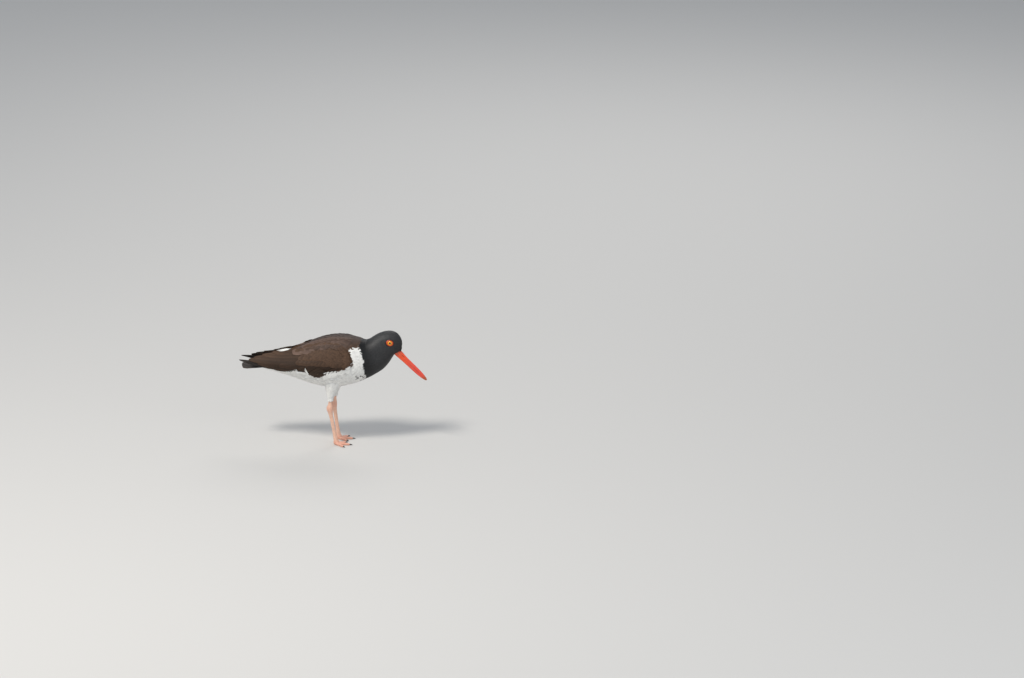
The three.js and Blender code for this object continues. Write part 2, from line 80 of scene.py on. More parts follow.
def rows(table, t):
    """Smooth curve through a table's rows, straight beyond its ends."""
    t = np.asarray(t, float)
    n = len(table) - 1
    i = np.clip(np.floor(t).astype(int), 0, n - 1)
    f = (t - i)[..., None]
    p, a, b, q = (table[np.clip(i + k, 0, n)] for k in (-1, 0, 1, 2))
    m0 = (b - p) / np.where(i > 0, 2, 1)[..., None]
    m1 = (q - a) / np.where(i < n - 1, 2, 1)[..., None]
    c = np.clip(f, 0, 1)
    mid = (2 * c**3 - 3 * c**2 + 1) * a + (c**3 - 2 * c**2 + c) * m0 + (3 * c**2 - 2 * c**3) * b + (c**3 - c**2) * m1
    return mid + np.minimum(f, 0) * m0 + np.maximum(f - 1, 0) * m1


def unit(v):
    return v / np.maximum(np.linalg.norm(v, axis=-1, keepdims=True), 1e-12)


def dot(a, b):
    return (a * b).sum(-1)


# ------------------------------------------------------------------ surfaces
T_DENSE = np.linspace(0, len(BODY) - 1, 2001)
_R = rows(BODY, T_DENSE)
X_DENSE = np.maximum.accumulate((_R[:, 0] + _R[:, 2]) / 2)


def t_at(x):
    return np.interp(x, X_DENSE, T_DENSE)


def axis_at(x):
    r = rows(BODY, t_at(x))
    h = r[..., 1] - r[..., 3]
    return r[..., 3] + h * WIDEST, h, r[..., 4]


def body_reach(x, y, z):
    zc, h, w = axis_at(x)
    l = np.hypot(y, z - zc)
    l = np.maximum(l, 1e-6)
    up = np.abs(z - zc) / l / np.where(z > zc, h * (1 - WIDEST), h * WIDEST)
    return zc, l, (up**SQUARE + (np.abs(y) / l / w) ** SQUARE) ** (-1 / SQUARE)


def wing_section(tw, v, inset=0.0):
    """The closed wing's outer face on the +Y side."""
    x, ay, az, my, mz, by, bz, _ = np.moveaxis(rows(WING, tw), -1, 0)
    cy, cz = 2 * my - (ay + by) / 2, 2 * mz - (az + bz) / 2
    past, v = v - np.clip(v, 0, 1), np.clip(v, 0, 1)
    y = (1 - v) ** 2 * ay + 2 * v * (1 - v) * cy + v * v * by
    z = (1 - v) ** 2 * az + 2 * v * (1 - v) * cz + v * v * bz
    y = y + past * (2 * (1 - v) * (cy - ay) + 2 * v * (by - cy))
    z = z + past * (2 * (1 - v) * (cz - az) + 2 * v * (bz - cz))
    zc, l, reach = body_reach(x, y, z)
    least = reach + WING_PROUD
    r = least + SINK_BLEND * np.logaddexp(0, (l - least) / SINK_BLEND)
    on = smooth(x, -160, -150)
    k = 1 + on * (r / l - 1)
    y, z = y * k, zc + (z - zc) * k
    dy, dz = 2 * (1 - v) * (cy - ay) + 2 * v * (by - cy), 2 * (1 - v) * (cz - az) + 2 * v * (bz - cz)
    n = np.maximum(np.hypot(dy, dz), 1e-9)
    return x, y + inset * dz / n, z - inset * dy / n


# How far the closed wing stands off the body, over x and the angle about the body's axis.
BX = np.arange(-135.0, 60.0, 1.0)
BA = np.radians(np.arange(0.0, 181.0, 1.0))
TW_DENSE = np.linspace(0, len(WING) - 1, 801)
WX_DENSE = rows(WING, TW_DENSE)[:, 0]


def tw_at(x):
    return np.interp(-np.asarray(x, float), -WX_DENSE, TW_DENSE)


def _bulge():
    out = np.zeros((len(BX), len(BA)))
    v = np.linspace(0, 1, 80)
    for i, x in enumerate(BX):
        if x > 38.4:
            continue
        _, y, z = wing_section(np.full(v.shape, float(tw_at(x))), v)
        zc, l, reach = body_reach(np.full(v.shape, x), y, z)
        a = np.arctan2(y, z - zc)
        order = np.argsort(a)
        a, h = a[order], (l - reach)[order]
        inside = (BA >= a[0]) & (BA <= a[-1])
        out[i] = np.where(inside, np.interp(BA, a, h), 0)
    out *= smooth(BX, -128, -100)[:, None]
    out = np.clip(out, 0, 9)
    for axis, width in ((0, 3.0), (1, 2.2)):
        k = np.arange(-9, 10)
        g = np.exp(-(k**2) / 2 / width**2)
        out = np.apply_along_axis(lambda r: np.convolve(np.pad(r, 9, mode="edge"), g / g.sum(), "valid"), axis, out)
    return out


BULGE = _bulge()


def bulge(x, a):
    u = np.clip((x - BX[0]), 0, len(BX) - 1.001)
    w = np.clip(np.degrees(a), 0, len(BA) - 1.001)
    i, j = u.astype(int), w.astype(int)
    f, g = u - i, w - j
    b = BULGE
    val = (1 - f) * ((1 - g) * b[i, j] + g * b[i, j + 1]) + f * ((1 - g) * b[i + 1, j] + g * b[i + 1, j + 1])
    return np.where((x < BX[0]) | (x > BX[-1]), 0, val)


def face_shape(x, y, z):
    """Soft forms of the head under the plumage: lores drawn in, brow and cheek a little full."""
    ay = np.abs(y)
    side = smooth(ay, 3, 9)
    g = lambda cx, cz, sx, sz: np.exp(-((x - cx) / sx) ** 2 - ((z - cz) / sz) ** 2)
    out = -1.5 * side * g(126, 205, 6.0, 6.5)  # lores
    out += 0.7 * side * g(113, 222, 9, 3.2)  # brow
    out += 0.7 * side * g(108, 197, 9, 8)  # cheek
    out -= 0.5 * side * g(99, 212, 5, 7)
    out -= 0.8 * side * g(EYE["x"], EYE["z"], 8.0, 6.5)  # the shallow well around the eye
    return out


def body_point(t, th, depth=0.0, wing=1.0):
    t, th, depth = np.broadcast_arrays(np.asarray(t, float), np.asarray(th, float), np.asarray(depth, float))
    past = np.clip(t - 21, 0, 1) * math.pi / 2
    t = np.minimum(t, 21)
    tx, tz, bx, bz, w = np.moveaxis(rows(BODY, t), -1, 0)
    ux, uz = tx - bx, tz - bz
    h = np.hypot(ux, uz)
    ux, uz = ux / h, uz / h
    cx, cz = bx + ux * h * WIDEST, bz + uz * h * WIDEST
    e = 2 / SQUARE
    c, s = np.cos(th), np.sin(th)
    cu, su = np.sign(c) * np.abs(c) ** e, np.sign(s) * np.abs(s) ** e
    r = np.where(c > 0, h * (1 - WIDEST), h * WIDEST)
    x, y, z = cx + ux * r * cu, w * su, cz + uz * r * cu
    # outward push in the section's plane
    rad = np.sqrt((r * cu) ** 2 + y**2) + 1e-9
    zc, _, _ = axis_at(x)
    a = np.arctan2(np.abs(y), z - zc)
    push = wing * bulge(x, a) * (t < 11.5) + face_shape(x, y, z) * smooth(t, 12, 14) - depth
    k = push / rad
    p = np.stack([x + ux * r * cu * k, y * (1 + k), z + uz * r * cu * k], -1)
    # the last section closes in a low dome
    c = np.stack([cx, 0 * cx, cz], -1)
    ahead = np.stack([uz, 0 * uz, -ux], -1)
    front = c + (p - c) * np.cos(past)[..., None] + ahead * (1.6 * np.sin(past))[..., None]
    return np.where((past > 0)[..., None], front, p)


def depth_at(t):
    """Depth of the plumage over the skin."""
    return np.interp(t, [0, 3, 7, 11, 13, 15, 18, 20, 21], [2.0, 2.8, 3.4, 3.2, 2.6, 2.0, 1.5, 1.2, 1.0])


def coat_base(t, th):
    """Where the feathers are rooted."""
    return body_point(t, th, depth_at(t), wing=smooth(t, 3.1, 4.3))


def theta_for(t, phi):
    """The section's own angle whose point lies at the angle phi from straight up, about the body's axis."""
    h = rows(BODY, t)[..., 1] - rows(BODY, t)[..., 3]
    w = rows(BODY, t)[..., 4]
    p = np.abs(phi)
    r = np.where(p < math.pi / 2, h * (1 - WIDEST), h * WIDEST)
    q = np.abs(np.tan(np.where(np.abs(p - math.pi / 2) < 1e-3, math.pi / 2 - 1e-3, p))) * r / w
    th = np.arctan(q ** (SQUARE / 2))
    return np.sign(phi) * np.where(p < math.pi / 2, th, math.pi - th)


class Surface:
    """A place for feathers: point(a, b) in millimetres; out is the sign that makes the normal face outwards."""

    def __init__(self, point, tail, out=1.0, eps=(1e-3, 1e-3)):
        self.point, self.tail, self.eps = point, tail, eps
        self.out = out

    def frame(self, a, b):
        ea, eb = self.eps
        pa = (self.point(a + ea, b) - self.point(a - ea, b)) / (2 * ea)
        pb = (self.point(a, b + eb) - self.point(a, b - eb)) / (2 * eb)
        n = unit(np.cross(pa, pb)) * self.out
        return pa, pb, n

    def steps(self, pa, pb, move):
        """Parameter changes that give a small move along the surface."""
        E, F, G = dot(pa, pa), dot(pa, pb), dot(pb, pb)
        x, y = dot(move, pa), dot(move, pb)
        det = np.maximum(E * G - F * F, 1e-9)
        return (x * G - y * F) / det, (y * E - x * F) / det


def check_out(s, a, b, centre):
    p = s.point(np.array([a]), np.array([b]))[0]
    n = s.frame(np.array([a]), np.array([b]))[2][0]
    if dot(n, p - centre) < 0:
        s.out = -s.out


COAT = Surface(coat_base, -1)
check_out(COAT, 8.0, 1.2, np.array([10, 0, 170.0]))

# ------------------------------------------------------------------ markings
BIB_Z = np.array([130, 137, 142, 146, 152, 162, 180, 189, 196, 202, 208, 213, 216, 226])
BIB_X = np.array([73, 71, 69, 66.5, 65, 63.5, 63, 60.5, 58, 54.5, 55, 57, 59, 61])
BROWN = np.array([
    (70, 203.5), (54, 201.8), (42, 201.2), (37, 200), (38, 194), (39, 190), (42, 185), (45, 180), (43, 175), (38, 172.5),
    (35, 168), (29, 166.5), (23, 162), (10, 159), (4, 155.5), (-9, 154.5), (-15, 151.5), (-25, 147.5), (-32, 146.8),
    (-38, 151), (-47, 154), (-53, 154), (-55, 160), (-58, 153), (-68, 152), (-73, 157), (-76, 155), (-82, 153), (-91, 150),
    (-112, 153), (-150, 160), (-158, 172), (-158, 260), (70, 260)], float)


def inside(poly, x, z):
    out = np.zeros(x.shape, bool)
    for (x0, z0), (x1, z1) in zip(poly, np.roll(poly, -1, 0)):
        crosses = (z0 > z) != (z1 > z)
        at = x0 + (z - z0) * (x1 - x0) / (z1 - z0 if z1 != z0 else 1e-9)
        out ^= crosses & (x < at)
    return out


def zone(x, y, z, jitter=0.0, r=None):
    """0 black, 1 brown, 2 white, from the place on the body."""
    x, y, z = (np.array(v, float) for v in (x, y, z))
    if jitter:
        x = x + r.normal(0, jitter, x.shape)
        z = z + r.normal(0, jitter * 0.8, z.shape)
    black = x > np.interp(z, BIB_Z, BIB_X)
    brown = inside(BROWN, x, z)
    rump = (x < -84) & (z > 160)  # tail coverts between the wings
    flank = (x < 30) & (z < 165) & ~((x > -48) & (x < 6) & (z < 158))  # the wing's own feathers are brown here, those of the flank white
    out = np.where(black, 0, np.where(brown & ~rump & ~flank, 1, 2))
    return out


# Reflectances, linear.
def lin(r, g, b):
    c = np.array([r, g, b], float) / 255
    return np.where(c <= 0.04045, c / 12.92, ((c + 0.055) / 1.055) ** 2.4)


# BLACK, the head's, is lightened with painted light; BLACK_NECK, the neck's, is darkened with painted shade
BLACK = lin(53, 53, 54)
BLACK_NECK = lin(20, 20, 21)
BROWN_C = lin(79, 59, 45)
MANTLE_C = lin(71, 59, 54)
# the scapulars' lighter brown is painted light on their upward face
SCAP_LIT_C = lin(94, 75, 65)
BROWN_EDGE = lin(134, 112, 94)
WHITE = lin(238, 237, 233)
PRIMARY_C = lin(36, 30, 27)
TAIL_C = lin(50, 40, 34)
LEG_C = lin(244, 197, 172)
LEG_SHADE = lin(196, 140, 118)


# ------------------------------------------------------------------ mesh making
def new_mesh(name, verts, polys, colour=None, uvs=None, smooth_shade=True, sharp=None, turn=True):
    """verts in millimetres; polys is a list of (n, k) index arrays; colour per vertex; uvs {name: per-vertex (n, 2)}."""
    me = bpy.data.meshes.new(name)
    v = np.asarray(verts, float).reshape(-1, 3).copy()
    v[:, 0] += SHIFT
    polys = outward(v, polys) if turn else polys
    me.vertices.add(len(v))
    me.vertices.foreach_set("co", (v * MM).astype(np.float32).ravel())
    loops = np.concatenate([np.asarray(p).ravel() for p in polys]).astype(np.int32)
    total = np.concatenate([np.full(len(p), np.asarray(p).shape[1]) for p in polys]).astype(np.int32)
    start = np.concatenate([[0], np.cumsum(total)[:-1]]).astype(np.int32)
    me.loops.add(len(loops))
    me.loops.foreach_set("vertex_index", loops)
    me.polygons.add(len(total))
    me.polygons.foreach_set("loop_start", start)
    me.polygons.foreach_set("loop_total", total)
    me.update(calc_edges=True)
    me.validate()
    if colour is not None:
        c = np.ones((len(v), 4), np.float32)
        c[:, :3] = np.asarray(colour).reshape(-1, 3)
        me.attributes.new("Col", "FLOAT_COLOR", "POINT").data.foreach_set("color", c.ravel())
    for key, uv in (uvs or {}).items():
        layer = me.uv_layers.new(name=key)
        uv = np.asarray(uv, np.float32)
        layer.data.foreach_set("uv", (uv if len(uv) == len(loops) and uv.ndim == 2 and len(uv) != len(v) else uv.reshape(-1, 2)[loops]).ravel())
    if smooth_shade:
        me.polygons.foreach_set("use_smooth", np.ones(len(total), bool))
    if sharp:
        me.set_sharp_from_angle(angle=math.radians(sharp))
    ob = bpy.data.objects.new(name, me)
    bpy.context.scene.collection.objects.link(ob)
    return ob


def grid_polys(n, m, closed=True, caps=True, start=0):
    """Quads of n rings of m points each, with n-gon caps. Faces look outwards where rings x along points out."""
    i = np.arange(n - 1)[:, None] * m
    j = np.arange(m if closed else m - 1)[None, :]
    k = (j + 1) % m
    q = np.stack([i + m + j, i + m + k, i + k, i + j], -1).reshape(-1, 4) + start
    out = [q]
    if caps:
        out.append((np.arange(m) + start)[None])
        out.append((np.arange(m)[::-1] + (n - 1) * m + start)[None])
    return out


def volume(v, polys):
    """Six times the signed volume, to see which way the faces look."""
    total = 0.0
    for p in polys:
        a = v[p[:, 0]]
        for k in range(1, p.shape[1] - 1):
            total += dot(a, np.cross(v[p[:, k]], v[p[:, k + 1]])).sum()
    return total


def outward(v, polys):
    v = np.asarray(v, float).reshape(-1, 3)
    return [p[:, ::-1] for p in polys] if volume(v - v.mean(0), polys) < 0 else polys


# ------------------------------------------------------------------ feathers
def outline(kind, s):
    """Half-width of a vane along its length, from root to tip, as a share of its widest."""
    s = np.clip(s, 0, 1)
    a = np.sqrt(np.clip(1 - (1 - np.minimum(s / 0.5, 1)) ** 2, 0, 1))
    if kind in ("contour", "face"):
        return (0.2 + 0.8 * a) * (1 - 0.34 * np.clip((s - 0.6) / 0.4, 0, 1) ** 2)
    if kind == "covert":
        return (0.12 + 0.88 * a) * (1 - 0.32 * np.clip((s - 0.7) / 0.3, 0, 1) ** 2)
    if kind == "long":
        a = np.clip(s / 0.3, 0, 1) ** 0.6
        return (0.1 + 0.9 * a * (0.82 + 0.18 * np.sin(np.pi * s))) * (1 - 0.48 * np.clip((s - 0.72) / 0.28, 0, 1) ** 1.8)
    if kind == "primary":
        a = np.clip(s / 0.3, 0, 1) ** 0.6
        return (0.1 + 0.9 * a) * (1 - 0.70 * np.clip((s - 0.6) / 0.4, 0, 1) ** 1.5)
    if kind == "rectrix":
        return (0.45 + 0.55 * smooth(s, 0, 0.7)) * (1 - 0.18 * np.clip((s - 0.94) / 0.06, 0, 1) ** 2)
    raise ValueError(kind)


class Plumes:
    """Collects feathers of one topology into one mesh."""

    def __init__(self, name, ns, nv, patch=(0.003, 0.003)):
        self.name, self.ns, self.nv, self.patch = name, ns, nv, patch
        self.verts, self.cols, self.uvs, self.vane = [], [], [], []

    def add(self, V, C, U, M):
        self.verts.append(V.astype(np.float32))
        self.cols.append(C.astype(np.float32))
        self.uvs.append(U.astype(np.float32))
        self.vane.append(M.astype(np.float32))

    def select(self, mask):
        out = Plumes(self.name, self.ns, self.nv, self.patch)
        out.add(*(np.concatenate(x)[mask] for x in (self.verts, self.cols, self.uvs, self.vane)))
        return out

    def count(self):
        return sum(len(v) for v in self.verts)

    def triangles(self):
        m = self.nv + 2
        return self.count() * (self.ns * m * 2 + 2 * (m - 2))

    def build(self, name=None):
        V, C, U, M = (np.concatenate(x) for x in (self.verts, self.cols, self.uvs, self.vane))
        n, m, r = len(V), self.nv + 2, self.ns + 1
        base = grid_polys(r, m)
        under = np.isin(base[0] % m, m - 1).any(1)
        base = [base[0][~under], base[0][under]] + base[1:]
        off = (np.arange(n) * m * r)[:, None, None]
        polys = [(p[None] + off).reshape(-1, p.shape[1]) for p in base]
        if volume(V[0].reshape(-1, 3).astype(float), base) < 0:
            polys = [p[:, ::-1] for p in polys]
        # The underside has its own narrow strip beside the vane's patch, and each end a sliver with some width.
        U = U.reshape(-1, 2)
        size = self.patch
        parts = []
        for q, p in enumerate(polys):
            uv = U[p]
            lane = (p % m)
            if q:
                strip = np.where(lane == m - 1, 0.40, np.where(lane == 0, 0.30, 0.5))
                base_u = U[(p // (m * r)) * (m * r)][..., 0] + 0.5 * size[0]
                uv = uv.copy()
                uv[..., 0] = base_u + strip * size[0]
                if q >= 2:
                    uv[..., 1] += np.where(lane == m - 1, 0.06, 0.0) * size[1] * (1 if q == 2 else -1)
                    uv[..., 0] = base_u + (0.3 + 0.2 * lane / (m - 1)) * size[0]
            parts.append(uv.reshape(-1, 2))
        loop_uv = np.concatenate(parts)
        return new_mesh(name or self.name, V.reshape(-1, 3), polys, C.reshape(-1, 3),
                        {"OFBake": loop_uv, "vane": M.reshape(-1, 2)}, sharp=75, turn=False)


def plume_mesh(out, surf, path_a, path_b, width, lift, kind, base, edge, tip, place, camber=0.1,
               thick=0.35, ragged=0.06, r=rng, one_sided=0.0, shaft=0.82, lean=None, blotch=0.0, rachis=0.0, fringe_in=0.55):
    """Feathers laid on a surface. path_a, path_b: (n, ns+1) parameters from root to tip; width: (n,) half-width in mm;
    lift: (n, ns+1) height over the surface; base, edge, tip: (n, 3) colours; place: (n, 2) on the unwrap."""
    n, k = path_a.shape
    nv = out.nv
    pa, pb, N = surf.frame(path_a, path_b)
    C = surf.point(path_a, path_b)
    d = np.gradient(C, axis=1)
    T = unit(d - dot(d, N)[..., None] * N)
    B = np.cross(N, T)
    seg = np.linalg.norm(np.diff(C, axis=1), axis=-1)
    along = np.concatenate([np.zeros((n, 1)), np.cumsum(seg, 1)], 1)
    L = along[:, -1:]
    sf = along / L
    half = width[:, None] * outline(kind, sf)
    lanes = np.linspace(-1, 1, nv + 1)
    V = np.empty((n, k, nv + 2, 3))
    for j, v in enumerate(lanes):
        off = half * v * (1 + one_sided * v)
        if lean is not None:
            off = off + lean
        da, db = surf.steps(pa, pb, B * off[..., None])
        P = surf.point(path_a + da, path_b + db)
        drop = camber * half * v * v
        pull = ragged * L * r.uniform(-1, 1, (n, 1)) * smooth(sf, 0.6, 1.0) * (0.4 + 0.6 * abs(v))
        back = np.minimum(width[:, None] * 1.05, 0.45 * L) * (1 - math.sqrt(1 - 0.94 * v * v)) * sf**1.5  # rounds the tip
        ridge = rachis * max(0.0, 1 - abs(v) * nv / 2) * (1 - sf)
        V[:, :, j] = P + N * (lift - drop + ridge)[..., None] + T * (pull - back)[..., None]
    mid = V[:, :, nv // 2] if nv % 2 == 0 else (V[:, :, nv // 2] + V[:, :, nv // 2 + 1]) / 2
    V[:, :, nv + 1] = mid - N * (thick * (1 - 0.6 * sf))[..., None]
    av = np.abs(np.concatenate([lanes, [0.0]]))
    S = sf[..., None]
    fringe = np.maximum(smooth(av, fringe_in, 1.0)[None, None] * smooth(S, 0.1, 0.4), smooth(S, 0.86, 1.0))
    col = base[:, None, None] * (1 - fringe[..., None]) + edge[:, None, None] * fringe[..., None]
    tipw = smooth(S, 0.55, 0.95)[..., None]
    col = col * (1 - tipw) + tip[:, None, None] * tipw * (1 - 0.0) if tip is not None else col
    if shaft != 1:
        centre = (1 - (1 - shaft) * np.clip(1 - av / 0.3, 0, 1))[None, None, :, None]
        col = col * centre
    if blotch:
        col = col * (1 + blotch * r.normal(0, 1, (n, k, nv + 2, 1)))
    U = np.empty((n, k, nv + 2, 2))
    wide = np.concatenate([(lanes + 1) * 0.39 - 0.5, [0.0]])  # the vane takes the first 78% of the patch
    U[..., 0] = place[:, None, None, 0] + wide[None, None] * out.patch[0]
    U[..., 1] = place[:, None, None, 1] + (S - 0.5) * out.patch[1]
    M = np.empty((n, k, nv + 2, 2))
    M[..., 0] = half[..., None] * np.concatenate([lanes, [0.0]])[None, None] * 0.01 + 0.5
    M[..., 1] = (along[..., None] + r.uniform(0, 7, (n, 1, 1))) * 0.01
    out.add(V, np.clip(col, 0.001, 0.95), U, M)


def spaced(k, power=1.0):
    return 1 - (1 - np.linspace(0, 1, k)) ** power


def march(surf, a, b, length, angle, k, side_pull=None):
    """Paths of given length over a surface, towards the tail and turned by an angle."""
    A, Bp = [a], [b]
    frac = np.diff(spaced(k, 1.35))
    for i in range(k - 1):
        pa, pb, N = surf.frame(A[-1], Bp[-1])
        e = unit(pa * surf.tail)
        lat = np.cross(N, e)
        go = np.cos(angle)[:, None] * e + np.sin(angle)[:, None] * lat
        da, db = surf.steps(pa, pb, go * (length * frac[i])[:, None])
        A.append(A[-1] + da)
        Bp.append(Bp[-1] + db)
    return np.stack(A, 1), np.stack(Bp, 1)


def unwrap(t, th):
    return np.stack([0.01 + 0.98 * ((th / (2 * math.pi)) % 1.0), 0.01 + 0.98 * np.clip(t / 21.0, 0, 1)], -1)


# ------------------------------------------------------------------ contour feathers
def scatter(surface_point, a_range, b_range, spacing, candidates, r):
    """Points no closer than their own spacing, spread evenly by area."""
    a = r.uniform(*a_range, candidates * 3)
    b = r.uniform(*b_range, candidates * 3)
    e = 1e-3
    p = surface_point(a, b)
    pa = (surface_point(a + e, b) - p) / e
    pb = (surface_point(a, b + e) - p) / e
    area = np.linalg.norm(np.cross(pa, pb), axis=-1)
    gap = spacing(a, b, p)
    want = area / gap**2
    keep = (r.uniform(0, 1, len(a)) < want / np.quantile(want, 0.995)) & (gap > 0)
    a, b, p, gap = a[keep][:candidates], b[keep][:candidates], p[keep][:candidates], gap[keep][:candidates]
    order = np.argsort(gap, kind="stable")
    order = order[np.argsort(np.round(gap[order] * 2), kind="stable")]
    cell = 6.0
    cells, chosen = {}, []
    pl, gl = p.tolist(), gap.tolist()
    for i in order.tolist():
        x, y, z = pl[i]
        g = gl[i]
        cx, cy, cz = int(x // cell), int(y // cell), int(z // cell)
        g2 = g * g
        ok = True
        for ix in (cx - 1, cx, cx + 1):
            for iy in (cy - 1, cy, cy + 1):
                for iz in (cz - 1, cz, cz + 1):
                    for (qx, qy, qz) in cells.get((ix, iy, iz), ()):
                        if (qx - x) ** 2 + (qy - y) ** 2 + (qz - z) ** 2 < g2:
                            ok = False
                            break
                    if not ok:
                        break
                if not ok:
                    break
            if not ok:
                break
        if ok:
            cells.setdefault((cx, cy, cz), []).append((x, y, z))
            chosen.append(i)
    return a[chosen], b[chosen], p[chosen]


def eye_distance(p):
    """How far outside the eye's bare ring a point is, as a share of the ring."""
    return np.hypot((p[..., 0] - EYE["x"]) / RING["rx"], (p[..., 2] - EYE["z"]) / RING["rz"])


def size_at(p, t):
    """Length and half-width of the small feathers at a place."""
    x = p[..., 0]
    up = smooth(p[..., 2], 165, 205)
    length = np.interp(t, [0, 1, 2, 4, 7, 9, 11, 12.5, 14, 16, 18, 20, 21], [13, 19, 21, 19, 15, 13, 11.5, 9, 7.0, 5.4, 4.2, 3.2, 2.4])
    half = np.interp(t, [0, 2, 4, 7, 9, 11, 12.5, 14, 16, 18, 20, 21], [3.3, 3.2, 3.0, 2.75, 2.55, 2.2, 1.85, 1.5, 1.15, 0.95, 0.78, 0.68])
    half = half * np.where((t < 12) & (zone(x, p[..., 1], p[..., 2]) == 1), 1.28, 1.0)
    near = np.where(t > 14, smooth(eye_distance(p), 1.0, 2.2), 1.0)
    length = length * (0.5 + 0.5 * near)
    half = half * (0.6 + 0.4 * near)
    return length, half


def x_(p):
    return p[..., 0]


def in_bill(p):
    d = p - BILL_BASE
    ax = unit(BILL_TIP - BILL_BASE)
    s_ = dot(d, ax)
    n_ = -ax[2] * d[..., 0] + ax[0] * d[..., 2]
    return (s_ > -1.0) & (np.abs(n_) < 6.6) & (np.abs(p[..., 1]) < 5.0)


def gap_at(a, b, p):
    length, half = size_at(p, a)
    gap = half * np.interp(a, [0, 8, 12, 15, 21], [0.76, 0.74, 0.70, 0.72, 0.74])
    # nothing grows under the closed wing, in the eye's ring, or inside the bill's base
    out = under_wing(p)
    out |= (a > 13) & (eye_distance(p) < 1.03 - 0.10 * smooth(EYE["x"] - x_(p), 1, 5)) & (np.abs(p[..., 1]) > 6)
    out |= in_bill(p)
    return np.where(out, -1, gap)


def _edges():
    xs = np.arange(-187.0, 39.0, 1.0)
    out = []
    for v in (0.0, 1.0):
        _, y, z = wing_section(tw_at(xs), np.full(xs.shape, v))
        zc, l, _ = body_reach(xs, y, z)
        out.append(np.arctan2(y, z - zc))
    return xs, out[0], out[1]


EDGE_X, EDGE_TOP, EDGE_LOW = _edges()


def in_wing(p):
    """Millimetres inside the closed wing's outline, negative outside it."""
    x, y, z = p[..., 0], np.abs(p[..., 1]), p[..., 2]
    zc, _, _ = axis_at(np.clip(x, -157, 130))
    l = np.hypot(y, z - zc)
    phi = np.arctan2(y, z - zc)
    top, low = np.interp(x, EDGE_X, EDGE_TOP), np.interp(x, EDGE_X, EDGE_LOW)
    return np.minimum(np.minimum((phi - top) * l, (low - phi) * l), 38.0 - x)


def under_wing(p):
    """Hidden under the wing, where nothing grows. Behind it the wing stands free of the body, which keeps its feathers."""
    d = in_wing(p)
    return (d > 3.0) & (p[..., 0] > -112) | (d > 0.5) & (p[..., 0] <= -112) & (p[..., 2] > 160)


fine = Plumes("coat_head", 4, 4)
mid = Plumes("coat_body", 5, 4)

a, b, p = scatter(coat_base, (0.0, 21.85), (-math.pi, math.pi), gap_at, 150000, rng)
length, half = size_at(p, a)
n = len(a)
length = length * rng.uniform(0.85, 1.15, n)
half = half * rng.uniform(0.88, 1.12, n)

# Lie of the coat: backwards everywhere, sloping down a little on the throat and up on the flank.
th = b
side = np.sin(np.abs(th))
angle = rng.normal(0, 0.10, n)
# cross(N, e) points to the bird's right seen from behind; a positive turn on the left side goes up
down = np.sign(th) * side
angle += down * np.interp(a, [0, 5, 8, 11, 13, 16, 21], [0.0, -0.05, -0.12, -0.05, 0.10, 0.08, 0.0])

for _ in range(6):
    A_, B_ = march(COAT, a, b, length, angle, 3)
    e_ = COAT.point(A_[:, -1], B_[:, -1])
    bad = (a > 13) & (eye_distance(e_) < 1.0) & (np.abs(e_[:, 1]) > 6) | (A_[:, -1] < 0.03)
    length = np.where(bad, length * 0.78, length)
keep = ~bad
a, b, p, length, half, angle, th = (q[keep] for q in (a, b, p, length, half, angle, th))
n = len(a)
z0 = zone(*np.moveaxis(p, -1, 0))
tipx = p[:, 0] - 0.75 * length * np.clip(np.cos(angle), 0, 1)
tip_zone = zone(tipx, p[:, 1], p[:, 2], 0.9, rng)
head = a > 12.2
zt = np.where(head, z0, tip_zone)
print("contour feathers", n, "head", head.sum(), "black", (zt == 0).sum(), "brown", (zt == 1).sum(), "white", (zt == 2).sum())

tone = 1 + rng.normal(0, 0.07, (n, 1))
# painted light and shade: the head's black lightens towards the crown, and the neck's black is darker
crown_painted_light = smooth(p[:, 2], 195, 225)[:, None]
black = BLACK * (0.8 + 0.35 * crown_painted_light) * (1 - smooth(-a, -13.5, -11.5)[:, None]) + BLACK_NECK * smooth(-a, -13.5, -11.5)[:, None]
upper = smooth(p[:, 2], 196, 214)[:, None]
brown = BROWN_C * (1 - upper) + MANTLE_C * upper
base = np.where(zt[:, None] == 0, black, np.where(zt[:, None] == 1, brown, WHITE * np.ones((n, 1)))) * tone
edge = np.where(zt[:, None] == 0, black * 1.12, np.where(zt[:, None] == 1, brown * 1.28, WHITE * np.ones((n, 1)))) * tone
# dark tips scattered in the white just behind the bib's lower border
border = (zt == 2) & (p[:, 0] > np.interp(p[:, 2], BIB_Z, BIB_X) - 9) & (p[:, 2] < 153) & (rng.uniform(0, 1, n) < 0.22)
base[border] = BLACK_NECK * 1.3
edge[border] = BLACK_NECK * 1.5

lift_tip = np.interp(a, [0, 4, 8, 11, 13, 15, 18, 21], [1.9, 2.4, 2.9, 2.7, 2.2, 1.6, 1.15, 0.8])
uv = unwrap(a, b)
for group, mask in ((fine, head), (mid, ~head)):
    i = np.where(mask)[0]
    k = group.ns + 1
    A, Bp = march(COAT, a[i], b[i], length[i], angle[i], k)
    s = spaced(k, 1.35)[None, :]
    s = s / s[:, -1:]
    where = COAT.point(A, Bp)
    over = smooth(in_wing(where), -2.0, 4.0) * (a[i] < 11)[:, None] * smooth(where[..., 0], -84, -74)
    li = lift_tip[i][:, None] * (0.10 + 0.90 * (1 - (1 - s) ** 1.7)) + rng.normal(0, 0.09, (len(i), 1)) + s**2 * rng.uniform(-0.1, 0.2, (len(i), 1)) + 1.7 * over
    plume_mesh(group, COAT, A, Bp, half[i], li, "contour" if group is mid else "face", base[i], edge[i], edge[i], uv[i],
               camber=0.09, thick=0.3 if group is mid else 0.18, ragged=0.07, shaft=1.0)

zone_of = {"head": zt[head], "body": zt[~head]}


# ------------------------------------------------------------------ closed wings
SIDES = ((-1, "right"), (1, "left"))
UNDER = 2.6  # the deepest layer of the wing lies this far below its outline


